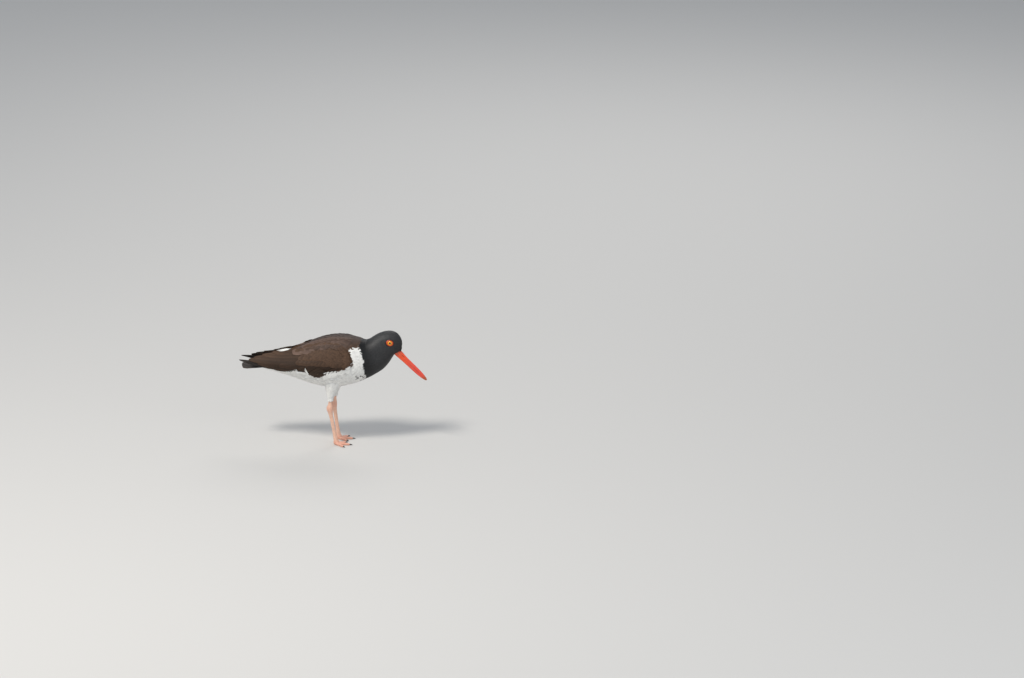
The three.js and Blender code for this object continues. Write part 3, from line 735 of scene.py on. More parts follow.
def wing_surface(side):
    def point(a, b):
        x = -np.asarray(a, float)
        _, y, z = wing_section(tw_at(x), b, UNDER)
        return np.stack([x + 0 * y, side * y, z], -1)

    s = Surface(point, 1, eps=(0.02, 2e-3))
    check_out(s, 20.0, 0.5, np.array([-20, 0, 170.0]))
    return s


def blade_surface(side):
    """The upright sheet that the long primaries lie in, along the wing's outermost line."""
    def point(a, b):
        x = -np.asarray(a, float)
        q = rows(WING, tw_at(x))
        my, mz, by, bz = (q[..., k] for k in (3, 4, 5, 6))
        b = np.asarray(b, float)
        y = my + (by - my) / (bz - mz) * (b - mz) - 0.022 * np.maximum(0, b - mz + 2) ** 2
        y = y - np.interp(x, [-187, -168, -150], [1.2, 2.0, 2.8])
        return np.stack([x + 0 * y, side * y, b + 0 * y], -1)

    s = Surface(point, 1, eps=(0.02, 0.02))
    check_out(s, 130.0, 168.0, np.array([-130, 0, 168.0]))
    return s


def place_of(p):
    """A root's place on the unwrap of the body."""
    x = np.clip(p[..., 0], -157, 130)
    zc, _, _ = axis_at(x)
    t = t_at(x)
    return unwrap(t, theta_for(t, np.arctan2(p[..., 1], p[..., 2] - zc)))


def cells(n, columns, patch):
    """Places for few large patches, side by side."""
    i = np.arange(n)
    return np.stack([0.01 + (i % columns + 0.55) * patch[0] * 1.12, 0.01 + (i // columns + 0.55) * patch[1] * 1.12], -1)


def wing_brown_painted_shade(p, k=1.0):
    """Brown by height on the wing: darker low down, painted shade over the lower feathers' own darker brown, and a
    little darker on the long feathers behind.
    """
    z = p[..., 2]
    # painted shade: the share falls from the top of the wing down to its lower edge
    share = np.interp(z, [146, 158, 168, 178, 190, 205], [0.40, 0.46, 0.66, 0.92, 1.0, 1.04]) * np.interp(p[..., 0], [-170, -110, -60], [0.82, 0.88, 1.0])
    return BROWN_C[None] * (share * k)[..., None]


long_f = Plumes("wing_long", 22, 6, (0.03, 0.075))
covert_f = Plumes("wing_coverts", 10, 6, (0.016, 0.03))
small_f = Plumes("wing_small", 5, 4)
wing_of = {"long": [], "covert": [], "small": [], "primary": []}
primary_f = Plumes("primaries", 22, 6, (0.03, 0.075))
tail_f = Plumes("tail", 16, 6, (0.04, 0.12))


def laid(out, surf, spec, lift, kind, colour, edge, bow=0.0, **more):
    """Feathers given by root and tip (x, v) and half-width."""
    spec = np.asarray(spec, float)
    x0, v0, x1, v1, w = spec.T
    s = spaced(out.ns + 1, 1.5)[None]
    s = s / s[:, -1:]
    A = -(x0[:, None] + (x1 - x0)[:, None] * s)
    Bv = v0[:, None] + (v1 - v0)[:, None] * s**1.1 + bow * np.sin(np.pi * s)
    lo, hi = lift
    lo, hi = np.broadcast_to(lo, x0.shape)[:, None], np.broadcast_to(hi, x0.shape)[:, None]
    li = lo + (hi - lo) * (1 - (1 - s) ** 1.6)
    n = len(spec)
    root = surf.point(-x0, v0)
    if out.patch[0] > 0.004:
        place = cells(n, int(0.95 / (out.patch[0] * 1.12)), out.patch) + np.array([0, out.row])
        out.row += out.patch[1] * 1.12 * math.ceil(n / int(0.95 / (out.patch[0] * 1.12)))
    else:
        place = place_of(root)
    plume_mesh(out, surf, A, Bv, w, li, kind, colour, edge, edge, place, **more)


for g in (long_f, covert_f, primary_f, tail_f):
    g.row = 0.0

W_SURF = {}
for side, word in SIDES:
    surf = W_SURF[side] = wing_surface(side)
    r = np.random.default_rng(77 + side)
    jit = lambda n, k: r.normal(0, k, n)
    # primaries: the longest lowest in the stack
    tips = [(-187.0, 170.6), (-183.0, 169.4), (-177.5, 168.6), (-171, 168.2), (-163.5, 168.0), (-155, 168.0), (-146, 168.2)]
    spec = [(-88, 156.5 + 0.5 * i, x, z, 5.2) for i, (x, z) in enumerate(tips)]
    n = len(spec)
    lo = np.linspace(0.0, 0.9, n)
    col = PRIMARY_C[None] * (1 + jit(n, 0.05))[:, None]
    laid(primary_f, blade_surface(side), spec, (lo, lo + 0.35), "primary", col, col * 1.35, bow=0.03, camber=0.06, thick=0.4, ragged=0.0, rachis=0.3, shaft=0.8, r=r)
    # secondaries under the coverts along the lower edge
    spec = [(-4 - 8 * i, 0.70, -50 - 8.5 * i, 0.985 - 0.008 * i, 7.8) for i in range(8)]
    n = len(spec)
    root = surf.point(-np.array([q[2] for q in spec]), np.array([q[3] for q in spec]))
    col = wing_brown_painted_shade(root, 0.78) * (1 + jit(n, 0.04))[:, None]
    laid(long_f, surf, spec, (0.3, 0.75), "long", col, col * 1.25, bow=0.02, camber=0.07, ragged=0.0, rachis=0.25, r=r)
    # tertials: the innermost on top
    spec = [(-48, 0.68, -128, 0.86, 8.6), (-45, 0.55, -149, 0.74, 9.2), (-42, 0.42, -167, 0.52, 9.6), (-40, 0.30, -157, 0.33, 9.8),
            (-38, 0.20, -141, 0.17, 9.6), (-35, 0.10, -121, 0.05, 9.2)]
    n = len(spec)
    root = surf.point(-np.array([q[2] for q in spec]) - 20, np.array([q[3] for q in spec]))
    col = wing_brown_painted_shade(root, 0.88) * (1 + jit(n, 0.05))[:, None]
    lo = np.linspace(0.55, 1.2, n)
    laid(long_f, surf, spec, (lo, lo + 0.75), "long", col, col * 1.45, bow=0.03, camber=0.07, ragged=0.0, rachis=0.3, r=r, fringe_in=0.72)
    # greater coverts
    spec = [(14 - 7.4 * i, 0.60 - 0.006 * i, -20 - 9.4 * i + jit(1, 1.2)[0], 0.90 - 0.022 * i + jit(1, 0.01)[0], 7.6) for i in range(10)]
    n = len(spec)
    root = surf.point(-np.array([q[2] for q in spec]), np.array([q[3] for q in spec]))
    col = wing_brown_painted_shade(root, 0.92) * (1 + jit(n, 0.05))[:, None]
    laid(covert_f, surf, spec, (1.0, 1.75 + jit(n, 0.06)), "covert", col, col * 1.38, bow=0.01, camber=0.08, ragged=0.02, rachis=0.2, r=r, fringe_in=0.68)
    # median coverts, two rows
    for k, (x0, v0, v1, L) in enumerate(((26, 0.42, 0.60, 21), (30, 0.27, 0.42, 19))):
        spec = [(x0 - 7.6 * i, v0, x0 - 7.6 * i - L + jit(1, 1.0)[0], v1 - 0.008 * i + jit(1, 0.01)[0], 6.6) for i in range(11)]
        n = len(spec)
        root = surf.point(-np.array([q[2] for q in spec]), np.array([q[3] for q in spec]))
        col = wing_brown_painted_shade(root, 1.0) * (1 + jit(n, 0.06))[:, None]
        laid(covert_f, surf, spec, (1.4 + 0.15 * k, 2.15 + 0.15 * k + jit(n, 0.07)), "covert", col, col * 1.35, camber=0.08, ragged=0.03, rachis=0.15, r=r, fringe_in=0.66)
    # lesser coverts over the bend of the wing and its upper half
    def gap_w(a_, b_, p_):
        low = np.interp(-a_, [-50, -25, 0, 20, 38], [0.16, 0.30, 0.42, 0.80, 1.0])
        return np.where((b_ < low) & (b_ > -0.02), np.interp(-a_, [-50, 0, 38], [3.5, 3.0, 2.2]), -1)
    la, lb, lp = scatter(surf.point, (-38.2, 48.0), (-0.02, 1.0), gap_w, 9000, r)
    n = len(la)
    L = np.interp(lp[:, 0], [-70, 0, 38], [15, 12, 8.5]) * r.uniform(0.9, 1.1, n)
    ang = -side * (0.16 + 0.22 * smooth(lp[:, 0], 10, 38)) + jit(n, 0.07)
    A, Bv = march(surf, la, lb, L, ang, 6)
    s_ = spaced(6, 1.35)[None]
    li = 1.35 + (2.7 - 1.35) * (1 - (1 - s_) ** 1.7) + jit(n, 0.1)[:, None]
    col = wing_brown_painted_shade(lp, 1.0) * (1 + jit(n, 0.07))[:, None]
    plume_mesh(small_f, surf, A, Bv, np.interp(lp[:, 0], [-60, 0, 38], [4.6, 4.0, 3.0]), li, "contour", col, col * 1.3, col * 1.3, place_of(lp), camber=0.08, ragged=0.04, shaft=0.85, r=r)
    print("lesser coverts", n)



def v_at(x, z):
    """Where on the wing's outline, from top to bottom, a height lies."""
    vs = np.linspace(0.2, 1.6, 90)
    return float(np.interp(-z, -wing_section(tw_at(np.full(90, float(x))), vs, UNDER)[2], vs))


# a lobe of the wing's own brown feathers hangs over the flank
LOBE = ((0, 155.5), (-6, 154.6), (-12, 153.0), (-18, 150.6), (-24, 148.6), (-29, 147.4), (-34, 148.0), (-39, 150.4), (-44, 152.4))
for side, word in SIDES:
    r = np.random.default_rng(377 + side)
    spec = [(x + 25, v_at(x + 25, z + 13.0), x, v_at(x, z - 0.6), 4.6) for x, z in LOBE]
    n = len(spec)
    root = W_SURF[side].point(-np.array([q[2] for q in spec]), np.array([q[3] for q in spec]))
    col = wing_brown_painted_shade(root, 1.0) * (1 + r.normal(0, 0.06, n))[:, None]
    lo = np.linspace(2.7, 3.0, n)
    laid(covert_f, W_SURF[side], spec, (lo, lo + 0.6), "covert", col, col * 1.3, camber=0.10, ragged=0.05, rachis=0.15, r=r, fringe_in=0.7)

# white tufts reach up over the wing's lower edge, the breast's side laps its bend, and the rump its upper edge
for side, word in SIDES:
    r = np.random.default_rng(277 + side)
    surf = W_SURF[side]
    spec = np.array([(-41.5, 1.16, -51.5, 0.67, 1.1), (-43.5, 1.14, -52.0, 0.75, 1.2), (-39.5, 1.12, -50.5, 0.82, 1.3), (-46.5, 1.12, -53.5, 0.86, 1.4),
                     (-61.5, 1.16, -70.0, 0.76, 1.5), (-60, 1.14, -69.5, 0.84, 1.6), (-64, 1.14, -72.5, 0.80, 1.7), (-67, 1.14, -75.5, 0.83, 1.8),
                     (-71, 1.14, -79, 0.86, 1.9), (-75, 1.14, -83, 0.89, 2.0), (-80, 1.14, -87, 0.92, 2.0), (-84, 1.14, -91, 0.95, 2.0),
                     (-84, -0.02, -100, 0.0, 1.5), (-87, 0.0, -104, 0.02, 1.4), (-91, 0.01, -108, 0.035, 1.2), (-87, -0.03, -106, -0.012, 1.4),
                     (-93, -0.02, -112, 0.0, 1.2)])
    n2 = len(spec)
    s_ = spaced(mid.ns + 1, 1.35)[None]
    A = -(spec[:, :1] + (spec[:, 2:3] - spec[:, :1]) * s_)
    Bv = spec[:, 1:2] + (spec[:, 3:4] - spec[:, 1:2]) * s_
    li = 2.3 + 0.7 * (1 - (1 - s_) ** 1.7) + r.normal(0, 0.05, (n2, 1)) - 0.6 * (np.arange(n2) >= 12)[:, None]
    w_ = np.repeat(WHITE[None], n2, 0)
    plume_mesh(mid, surf, A, Bv, spec[:, 4], li, "primary", w_, w_, w_, place_of(surf.point(A[:, 0], Bv[:, 0])), camber=0.08, ragged=0.06, shaft=1.0, r=r)

    def gap_b(a_, b_, p_):
        return np.where((p_[:, 2] < 186) & (p_[:, 0] > -6) & ~inside(BROWN, p_[:, 0], p_[:, 2] - 2.0), 1.45, -1)
    la, lb, lp = scatter(surf.point, (-39.5, 6.0), (0.30, 1.25), gap_b, 9000, r)
    L = np.interp(lp[:, 0], [-14, 38], [12.5, 9.0]) * r.uniform(0.8, 1.2, len(la))
    A, Bv = march(surf, la, lb, L, -side * 0.10 + r.normal(0, 0.16, len(la)), mid.ns + 1)
    end = surf.point(A[:, -1], Bv[:, -1])
    ok = ~inside(BROWN, end[:, 0], end[:, 2] + r.normal(0, 0.9, len(la)) - 1.4)
    la, lb, lp, A, Bv = la[ok], lb[ok], lp[ok], A[ok], Bv[ok]
    n3 = len(la)
    li = 1.9 + 1.7 * (1 - (1 - s_) ** 1.7) + r.normal(0, 0.12, (n3, 1))
    w_ = WHITE[None] * (1 + r.normal(0, 0.03, (n3, 1)))
    plume_mesh(mid, surf, A, Bv, np.interp(lp[:, 0], [-14, 38], [2.5, 2.1]) * r.uniform(0.85, 1.1, n3), li, "contour", w_, w_, w_, place_of(lp), camber=0.09, thick=0.3, ragged=0.12, shaft=1.0, r=r)
    print("white over the wing", n2, n3)
    zone_of["body"] = np.concatenate([zone_of["body"], np.full(n2 + n3, 2)])

# scapulars drape from the back over the wing's upper edge
SCAP = Surface(lambda a_, b_: body_point(a_, b_, 1.6), -1)
check_out(SCAP, 8.0, 1.2, np.array([10, 0, 170.0]))
for side, word in SIDES:
    r = np.random.default_rng(177 + side)
    for k, (phi0, phi1, L0, L1, w0, w1, x0, step, count, lift) in enumerate((
            (33, 31, 26, 52, 6.6, 8.6, 38, 8.6, 9, 2.1), (25, 23, 22, 42, 6.2, 8.0, 41, 8.2, 11, 2.45), (17, 15, 18, 30, 5.6, 7.2, 44, 7.6, 12, 2.8))):
        i = np.arange(count)
        f = i / (count - 1)
        x = x0 - step * i
        ph = np.radians(phi0 + (phi1 - phi0) * f)
        t = t_at(x)
        th_ = side * theta_for(t, ph)
        L = (L0 + (L1 - L0) * f) * r.uniform(0.95, 1.05, count)
        w = w0 + (w1 - w0) * f
        ang = -side * (0.20 - 0.12 * f) + r.normal(0, 0.04, count)
        A, Bp = march(SCAP, t, th_, L, ang, covert_f.ns + 1)
        s_ = spaced(covert_f.ns + 1, 1.35)[None]
        p_ = SCAP.point(A[:, -1], Bp[:, -1])
        # painted light: the scapulars take the lighter brown
        col = (SCAP_LIT_C * f[:, None] + (MANTLE_C * 0.4 + SCAP_LIT_C * 0.6) * (1 - f[:, None])) * (1.0 + r.normal(0, 0.06, count))[:, None] * (0.94 if k == 2 else 1.0)
        li = 0.4 + (lift - 0.4) * (1 - (1 - s_) ** 1.6) + r.normal(0, 0.06, (count, 1))
        place = cells(count, int(0.95 / (covert_f.patch[0] * 1.12)), covert_f.patch) + np.array([0, covert_f.row])
        covert_f.row += covert_f.patch[1] * 1.12
        plume_mesh(covert_f, SCAP, A, Bp, w, li, "covert", col, col * 1.35, col * 1.35, place, camber=0.1, ragged=0.02, rachis=0.15, r=r, fringe_in=0.68)

# ------------------------------------------------------------------ tail


def tail_point(a_, b_):
    u = (np.asarray(a_, float) - 20) / (TAIL["length"] - 20)
    y = a_ * np.sin(b_)
    return np.stack([TAIL["root"] - a_ * np.cos(b_), y, 155.6 + 2.6 * u - 0.0042 * y * y], -1)


T_SURF = Surface(tail_point, 1, eps=(0.02, 1e-4))
check_out(T_SURF, 90.0, 0.0, np.array([-160, 0, 100.0]))
r = np.random.default_rng(991)
i = np.arange(12)
order = np.argsort(-np.abs(i - 5.5), kind="stable")
fan = np.radians(-10.2 + 20.4 * i / 11)
tipr = 113.4 - 2.2 * ((i - 5.5) / 5.5) ** 2
s_ = spaced(tail_f.ns + 1, 1.6)[None]
s_ = s_ / s_[:, -1:]
A = 40 + (tipr[:, None] - 40) * s_
Bp = np.repeat(fan[:, None], tail_f.ns + 1, 1) * (0.55 + 0.45 * s_)
stack = 0.9 - 0.28 * np.abs(i - 5.5) + 0.05 * (i % 2)
col = TAIL_C[None] * (1 + r.normal(0, 0.05, 12))[:, None]
plume_mesh(tail_f, T_SURF, A, Bp, np.full(12, 6.2), np.repeat(stack[:, None], tail_f.ns + 1, 1) * np.ones_like(s_), "rectrix", col, col * 1.25, col * 1.05,
           cells(12, 12, tail_f.patch), camber=0.03, thick=0.5, ragged=0.0, rachis=0.25, r=r)

# ------------------------------------------------------------------ materials
def node_material(name, rough, sheen=0.0, spec=0.4, bump=0.15, barb=1.0, noise=0.12, coat=0.0, coat_rough=0.1, noise_scale=260.0, mottled=0.0, sss=0.0):
    """Colour from the mesh's own painted attribute, broken up by noise; fine barbs across each vane as relief."""
    m = bpy.data.materials.new(name)
    m.use_nodes = True
    nt = m.node_tree
    bsdf = nt.nodes["Principled BSDF"]
    att = nt.nodes.new("ShaderNodeAttribute"); att.attribute_name = "Col"
    tex = nt.nodes.new("ShaderNodeTexNoise"); tex.inputs["Scale"].default_value = noise_scale; tex.inputs["Detail"].default_value = 3
    co = nt.nodes.new("ShaderNodeTexCoord")
    nt.links.new(co.outputs["Object"], tex.inputs["Vector"])
    ramp = nt.nodes.new("ShaderNodeMapRange")
    ramp.inputs["From Min"].default_value, ramp.inputs["From Max"].default_value = 0.25, 0.75
    ramp.inputs["To Min"].default_value, ramp.inputs["To Max"].default_value = 1 - noise, 1 + noise
    nt.links.new(tex.outputs["Fac"], ramp.inputs["Value"])
    mul = nt.nodes.new("ShaderNodeVectorMath"); mul.operation = "SCALE"
    nt.links.new(att.outputs["Color"], mul.inputs[0])
    nt.links.new(ramp.outputs["Result"], mul.inputs["Scale"])
    nt.links.new(mul.outputs["Vector"], bsdf.inputs["Base Color"])
    bsdf.inputs["Roughness"].default_value = rough
    bsdf.inputs["Specular IOR Level"].default_value = spec
    bsdf.inputs["Sheen Weight"].default_value = sheen
    bsdf.inputs["Sheen Roughness"].default_value = 0.45
    bsdf.inputs["Coat Weight"].default_value = coat
    bsdf.inputs["Coat Roughness"].default_value = coat_rough
    if barb:
        uvn = nt.nodes.new("ShaderNodeUVMap"); uvn.uv_map = "vane"
        sep = nt.nodes.new("ShaderNodeSeparateXYZ")
        nt.links.new(uvn.outputs["UV"], sep.inputs[0])
        off = nt.nodes.new("ShaderNodeMath"); off.operation = "SUBTRACT"; off.inputs[1].default_value = 0.5
        nt.links.new(sep.outputs["X"], off.inputs[0])
        ab = nt.nodes.new("ShaderNodeMath"); ab.operation = "ABSOLUTE"
        nt.links.new(off.outputs[0], ab.inputs[0])
        run = nt.nodes.new("ShaderNodeMath"); run.operation = "MULTIPLY_ADD"; run.inputs[1].default_value = -1.3
        nt.links.new(ab.outputs[0], run.inputs[0])
        nt.links.new(sep.outputs["Y"], run.inputs[2])
        wave = nt.nodes.new("ShaderNodeMath"); wave.operation = "MULTIPLY"; wave.inputs[1].default_value = 2 * math.pi * 100 / barb
        nt.links.new(run.outputs[0], wave.inputs[0])
        sine = nt.nodes.new("ShaderNodeMath"); sine.operation = "SINE"
        nt.links.new(wave.outputs[0], sine.inputs[0])
        bp = nt.nodes.new("ShaderNodeBump"); bp.inputs["Strength"].default_value = bump; bp.inputs["Distance"].default_value = 0.0002
        nt.links.new(sine.outputs[0], bp.inputs["Height"])
        nt.links.new(bp.outputs["Normal"], bsdf.inputs["Normal"])
    return m


MAT_BLACK = node_material("feather_black", 0.50, sheen=0.04, spec=0.36, noise=0.18, barb=0.45, bump=0.10)
MAT_BROWN = node_material("feather_brown", 0.62, sheen=0.03, spec=0.22, noise=0.14, barb=0.6, bump=0.12)
MAT_WHITE = node_material("feather_white", 0.78, sheen=0.2, spec=0.2, noise=0.04, barb=0.5, bump=0.06)


def finish_piece(ob, mat, slot, *nodes):
    ob.data.materials.append(mat)
    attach(ob, "root")
    if nodes:
        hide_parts(*nodes)
    return ob


pieces = []
for tag, group, zz in (("head", fine, zone_of["head"]), ("body", mid, zone_of["body"])):
    for code, word, mat, slot in ((0, "black", MAT_BLACK, "black_plumage"), (1, "brown", MAT_BROWN, "wing_plumage"), (2, "white", MAT_WHITE, "body_plumage")):
        mask = zz == code
        if not mask.any():
            continue
        sub = group.select(mask)
        parts = max(1, math.ceil(sub.triangles() / 190000))
        idx = np.arange(sub.count())
        for q in range(parts):
            one = sub.select(idx % parts == q) if parts > 1 else sub
            ob = one.build("coat_%s_%s_%d" % (tag, word, q + 1))
            finish_piece(ob, mat, slot)
            pieces.append(ob)
            print(ob.name, one.count(), one.triangles())

MAT_WING = node_material("feather_wing", 0.58, sheen=0.02, spec=0.22, noise=0.12, barb=0.85, bump=0.25)
MAT_BED = node_material("feather_bed", 0.8, noise=0.2, barb=0)
MAT_FLIGHT = node_material("feather_flight", 0.50, sheen=0.02, spec=0.28, noise=0.12, barb=0.85, bump=0.25)


def by_side(group, name, mat, slot, replaced, single=False):
    V = np.concatenate(group.verts)
    for side, word in SIDES:
        sub = group if single else group.select(V[:, 0, 0, 1] * side > 0)
        ob = sub.build(name if single else name + "_" + word)
        finish_piece(ob, mat, slot, *[q.replace("*", word) for q in replaced])
        print(ob.name, sub.count(), sub.triangles())
        if single:
            break


by_side(long_f, "wing_long", MAT_WING, "wing_plumage", ["wing_*"])
by_side(covert_f, "wing_coverts", MAT_WING, "wing_plumage", [])
by_side(small_f, "wing_small", MAT_WING, "wing_plumage", [])
by_side(primary_f, "primary_vanes", MAT_FLIGHT, "flight_feathers", ["primaries_*"])
by_side(tail_f, "tail_feathers", MAT_FLIGHT, "flight_feathers", ["tail"], single=True)

# ------------------------------------------------------------------ legs
def forward(side, z):
    return STEP_FORWARD[0] + (STEP_FORWARD[1] - STEP_FORWARD[0]) * np.clip((z - 9) / 66, 0, 1) if side > 0 else 0 * z


THIGH = np.array([[3.6, 1.5, 142, 18.5, 12], [0.8, 1, 128, 16, 12.5], [-1.2, 0.5, 117, 12, 11], [-2.8, 0.2, 108, 8.8, 8.4], [-3.5, 0, 101, 6.4, 6.1], [-3.8, 0, 96.5, 4.9, 4.6], [-4.0, 0, 92.5, 4.4, 4.1]])
SHANK = np.array([[-3.6, 101, 3.9, 3.6], [-4, 96.2, 3.9, 3.6], [-4.3, 90, 3.8, 3.5], [-4.8, 83, 4.4, 3.9], [-5.7, 78, 6.1, 5.1], [-5.5, 72.5, 6.3, 5.2], [-4.1, 65, 4.7, 3.8], [-2.2, 55, 3.9, 2.9],
                  [0.8, 38, 3.7, 2.7], [4, 21, 3.9, 3], [5.6, 13, 4.5, 3.9], [6.5, 9, 4.9, 4.6], [7.0, 5, 4.9, 4.6], [7.2, 2.5, 4.0, 4.0]])


def limb_point(side, table, t, ang, inset=0.0):
    q = rows(table, t)
    if table.shape[1] == 5:
        x, o, z, rx, ry = np.moveaxis(q, -1, 0)
    else:
        x, z, rx, ry = np.moveaxis(q, -1, 0)
        o = 0 * x
    x = x + forward(side, z)
    return np.stack([x + (rx - inset) * np.cos(ang), side * (STANCE + o) + (ry - inset) * np.sin(ang), z + 0 * ang], -1)


def loft(points):
    n, m = points.shape[:2]
    return points.reshape(-1, 3), grid_polys(n, m)


def shell(items, name, scale=0.1):
    """Closed shells in one temporary mesh, in centimetres."""
    vs, ps, k = [], [], 0
    for v, polys in items:
        polys = outward(v, polys)
        vs.append(v)
        ps += [p + k for p in polys]
        k += len(v)
    me = bpy.data.meshes.new(name)
    faces = [tuple(int(q) for q in f) for p in ps for f in p]
    me.from_pydata([tuple(q) for q in (np.concatenate(vs) * scale)], [], faces)
    ob = bpy.data.objects.new(name, me)
    bpy.context.scene.collection.objects.link(ob)
    return ob


def applied(ob):
    dg = bpy.context.evaluated_depsgraph_get()
    me = bpy.data.meshes.new_from_object(ob.evaluated_get(dg))
    ob.modifiers.clear()
    ob.data = me
    return ob


def read(me, scale=0.1):
    v = np.empty(len(me.vertices) * 3, np.float32)
    me.vertices.foreach_get("co", v)
    return v.reshape(-1, 3).astype(float) / scale


def write(me, v, scale=0.1):
    me.vertices.foreach_set("co", (v * scale).astype(np.float32).ravel())
    me.update()


def neighbours(me):
    e = np.empty(len(me.edges) * 2, np.int32)
    me.edges.foreach_get("vertices", e)
    return e.reshape(-1, 2)


def relax(v, e, times, amount=0.5, weight=None):
    for _ in range(times):
        s_ = np.zeros_like(v)
        c_ = np.zeros(len(v))
        np.add.at(s_, e[:, 0], v[e[:, 1]])
        np.add.at(s_, e[:, 1], v[e[:, 0]])
        np.add.at(c_, e[:, 0], 1)
        np.add.at(c_, e[:, 1], 1)
        d = (s_ / np.maximum(c_, 1)[:, None] - v) * amount
        v = v + (d if weight is None else d * weight[:, None])
    return v


def hexes(u, w):
    """Distance to the border of a net of six-sided scales, 0 at the border and 1 in the middle."""
    best = []
    r3 = math.sqrt(3)
    for ou, ow in ((0, 0), (0.5, r3 / 2)):
        cu = np.round(u - ou) + ou
        cw = np.round((w - ow) / r3) * r3 + ow
        best.append(np.stack([u - cu, w - cw], -1))
    a_, b_ = best
    pick = (a_**2).sum(-1) < (b_**2).sum(-1)
    d = np.where(pick[..., None], a_, b_)
    x, y = np.abs(d[..., 0]), np.abs(d[..., 1])
    return 1 - 2 * np.maximum(x, x * 0.5 + y * r3 / 2)


def toe_rows(side, turn, length):
    a_ = math.radians(side * turn)
    x0, y0 = HEEL[0] + float(forward(side, np.array(HEEL[1]))), side * STANCE
    L = length
    tab = np.array([[-3, 3.6, 3.4, 3.4], [3, 3.7, 3.9, 3.9], [L * 0.34, 2.4, 2.8, 2.8], [L * 0.5, 2.35, 2.9, 3.0], [L * 0.66, 2.0, 2.4, 2.5], [L * 0.82, 2.0, 2.5, 2.6], [L, 1.6, 1.7, 1.8]])
    return a_, np.array([x0, y0]), tab


def toe_point(frame_, t, b_):
    a_, o, tab = frame_
    d, z, r_, s_ = np.moveaxis(rows(tab, t), -1, 0)
    c, q = math.cos(a_), math.sin(a_)
    return np.stack([o[0] + d * c - q * s_ * np.cos(b_), o[1] + d * q + c * s_ * np.cos(b_), z + r_ * np.sin(b_)], -1)


def leg_mesh(side):
    ang = np.linspace(0, 2 * math.pi, 28, endpoint=False)[None]
    items = [loft(limb_point(side, SHANK, np.linspace(0, len(SHANK) - 1, 120)[:, None], ang, 0.05))]
    dx = float(forward(side, np.array(9.0)))
    th_ = np.linspace(0.02, math.pi - 0.02, 18)[:, None]
    pad = np.stack([HEEL[0] + 0.8 + dx + 6.1 * np.sin(th_) * np.cos(ang), side * STANCE + 5.3 * np.sin(th_) * np.sin(ang), 5.4 + 6.2 * np.cos(th_) + 0 * ang], -1)
    items.append(loft(pad))
    toes = {}
    for name, turn, length, _ in TOES:
        f = toes[name] = toe_rows(side, turn, length)
        items.append(loft(toe_point(f, np.linspace(0, 6, 60)[:, None], ang)))
    leg = shell(items, "leg_tmp")
    mod = leg.modifiers.new("r", "REMESH")
    mod.mode, mod.voxel_size = "VOXEL", 0.046
    applied(leg)
    me = leg.data
    v = read(me)
    e = neighbours(me)
    low = smooth(-v[:, 2], -14, -5)
    v = relax(v, e, 3, 0.5)
    v = relax(v, e, 6, 0.5, low)
    # scales: a net round the shank, broad plates down the front of it and across the toes
    z = v[:, 2]
    q = rows(SHANK, np.interp(-z, -SHANK[:, 1], np.arange(len(SHANK))))
    cx = q[:, 0] + forward(side, z)
    ang_ = np.arctan2((v[:, 1] - side * STANCE) / q[:, 3], (v[:, 0] - cx) / q[:, 2])
    girth = math.pi * (q[:, 2] + q[:, 3])
    size = 1.75
    net = hexes(np.round(girth / size) * 0 + ang_ / (2 * math.pi) * 12, z / size)
    plates = np.clip(1 - np.abs(2 * ((z / 2.6) % 1) - 1), 0, 1)
    front = smooth(np.abs(ang_) * -1, -0.62, -0.38) * (z < 66)
    groove = smooth(net, 0.0, 0.34) * (1 - front) + smooth(plates, 0.0, 0.22) * front
    n = np.stack([np.cos(ang_) / q[:, 2], np.sin(ang_) / q[:, 3], 0 * z], -1)
    n = unit(n)
    on_leg = smooth(z, 11, 15)
    depth = 0.17 * (groove - 0.8) * on_leg
    # folds at the ankle
    fold = np.exp(-((z - 74.5) / 5.5) ** 2) * (0.16 * np.sin(z * 2.6 + 1.2 * np.cos(ang_)) * smooth(-np.cos(ang_), -0.2, 0.9))
    v = v + n * (depth + fold)[:, None]
    for name, (a_, o, tab) in toes.items():
        c, q_ = math.cos(a_), math.sin(a_)
        d = (v[:, 0] - o[0]) * c + (v[:, 1] - o[1]) * q_
        l = -(v[:, 0] - o[0]) * q_ + (v[:, 1] - o[1]) * c
        on = smooth(d, 5.5, 9) * smooth(-np.abs(l), -4.2, -3.4) * (z < 7.5) * smooth(z, 2.0, 3.0)
        bar = np.clip(1 - np.abs(2 * ((d / 1.9) % 1) - 1), 0, 1)
        g = smooth(bar, 0.0, 0.3)
        v[:, 2] += on * 0.15 * (g - 0.85)
    v[:, 2] = np.where(v[:, 2] < 0.35, 0.0, v[:, 2])
    write(me, v)
    return leg, toes


legs = {}
for side, word in SIDES:
    legs[side] = leg_mesh(side)
    print("leg", len(legs[side][0].data.polygons))

# ------------------------------------------------------------------ what the wing's feathers are set in
for side, word in SIDES:
    xs = np.linspace(36.0, -112.0, 120)[:, None]
    vv = np.linspace(0.03, 0.97, 22)[None]
    th_k = np.maximum(0.7, rows(WING, tw_at(xs))[..., 7] * np.sin(math.pi * vv) ** 0.6)
    sheet_ = []
    for ins, v_ in ((np.minimum(2.75, th_k * 0.62), vv), ((th_k - 0.05)[:, ::-1], vv[:, ::-1])):
        X_, y_, z_ = wing_section(tw_at(xs) + 0 * v_, v_ + 0 * xs, ins)
        sheet_.append(np.stack([X_, side * y_, z_], -1))
    P_ = np.concatenate(sheet_, 1)
    ob = new_mesh("wing_bed_" + word, P_.reshape(-1, 3), grid_polys(120, 44), np.repeat((BROWN_C * 0.85)[None], 120 * 44, 0))
    finish_piece(ob, MAT_BED, "wing_plumage")

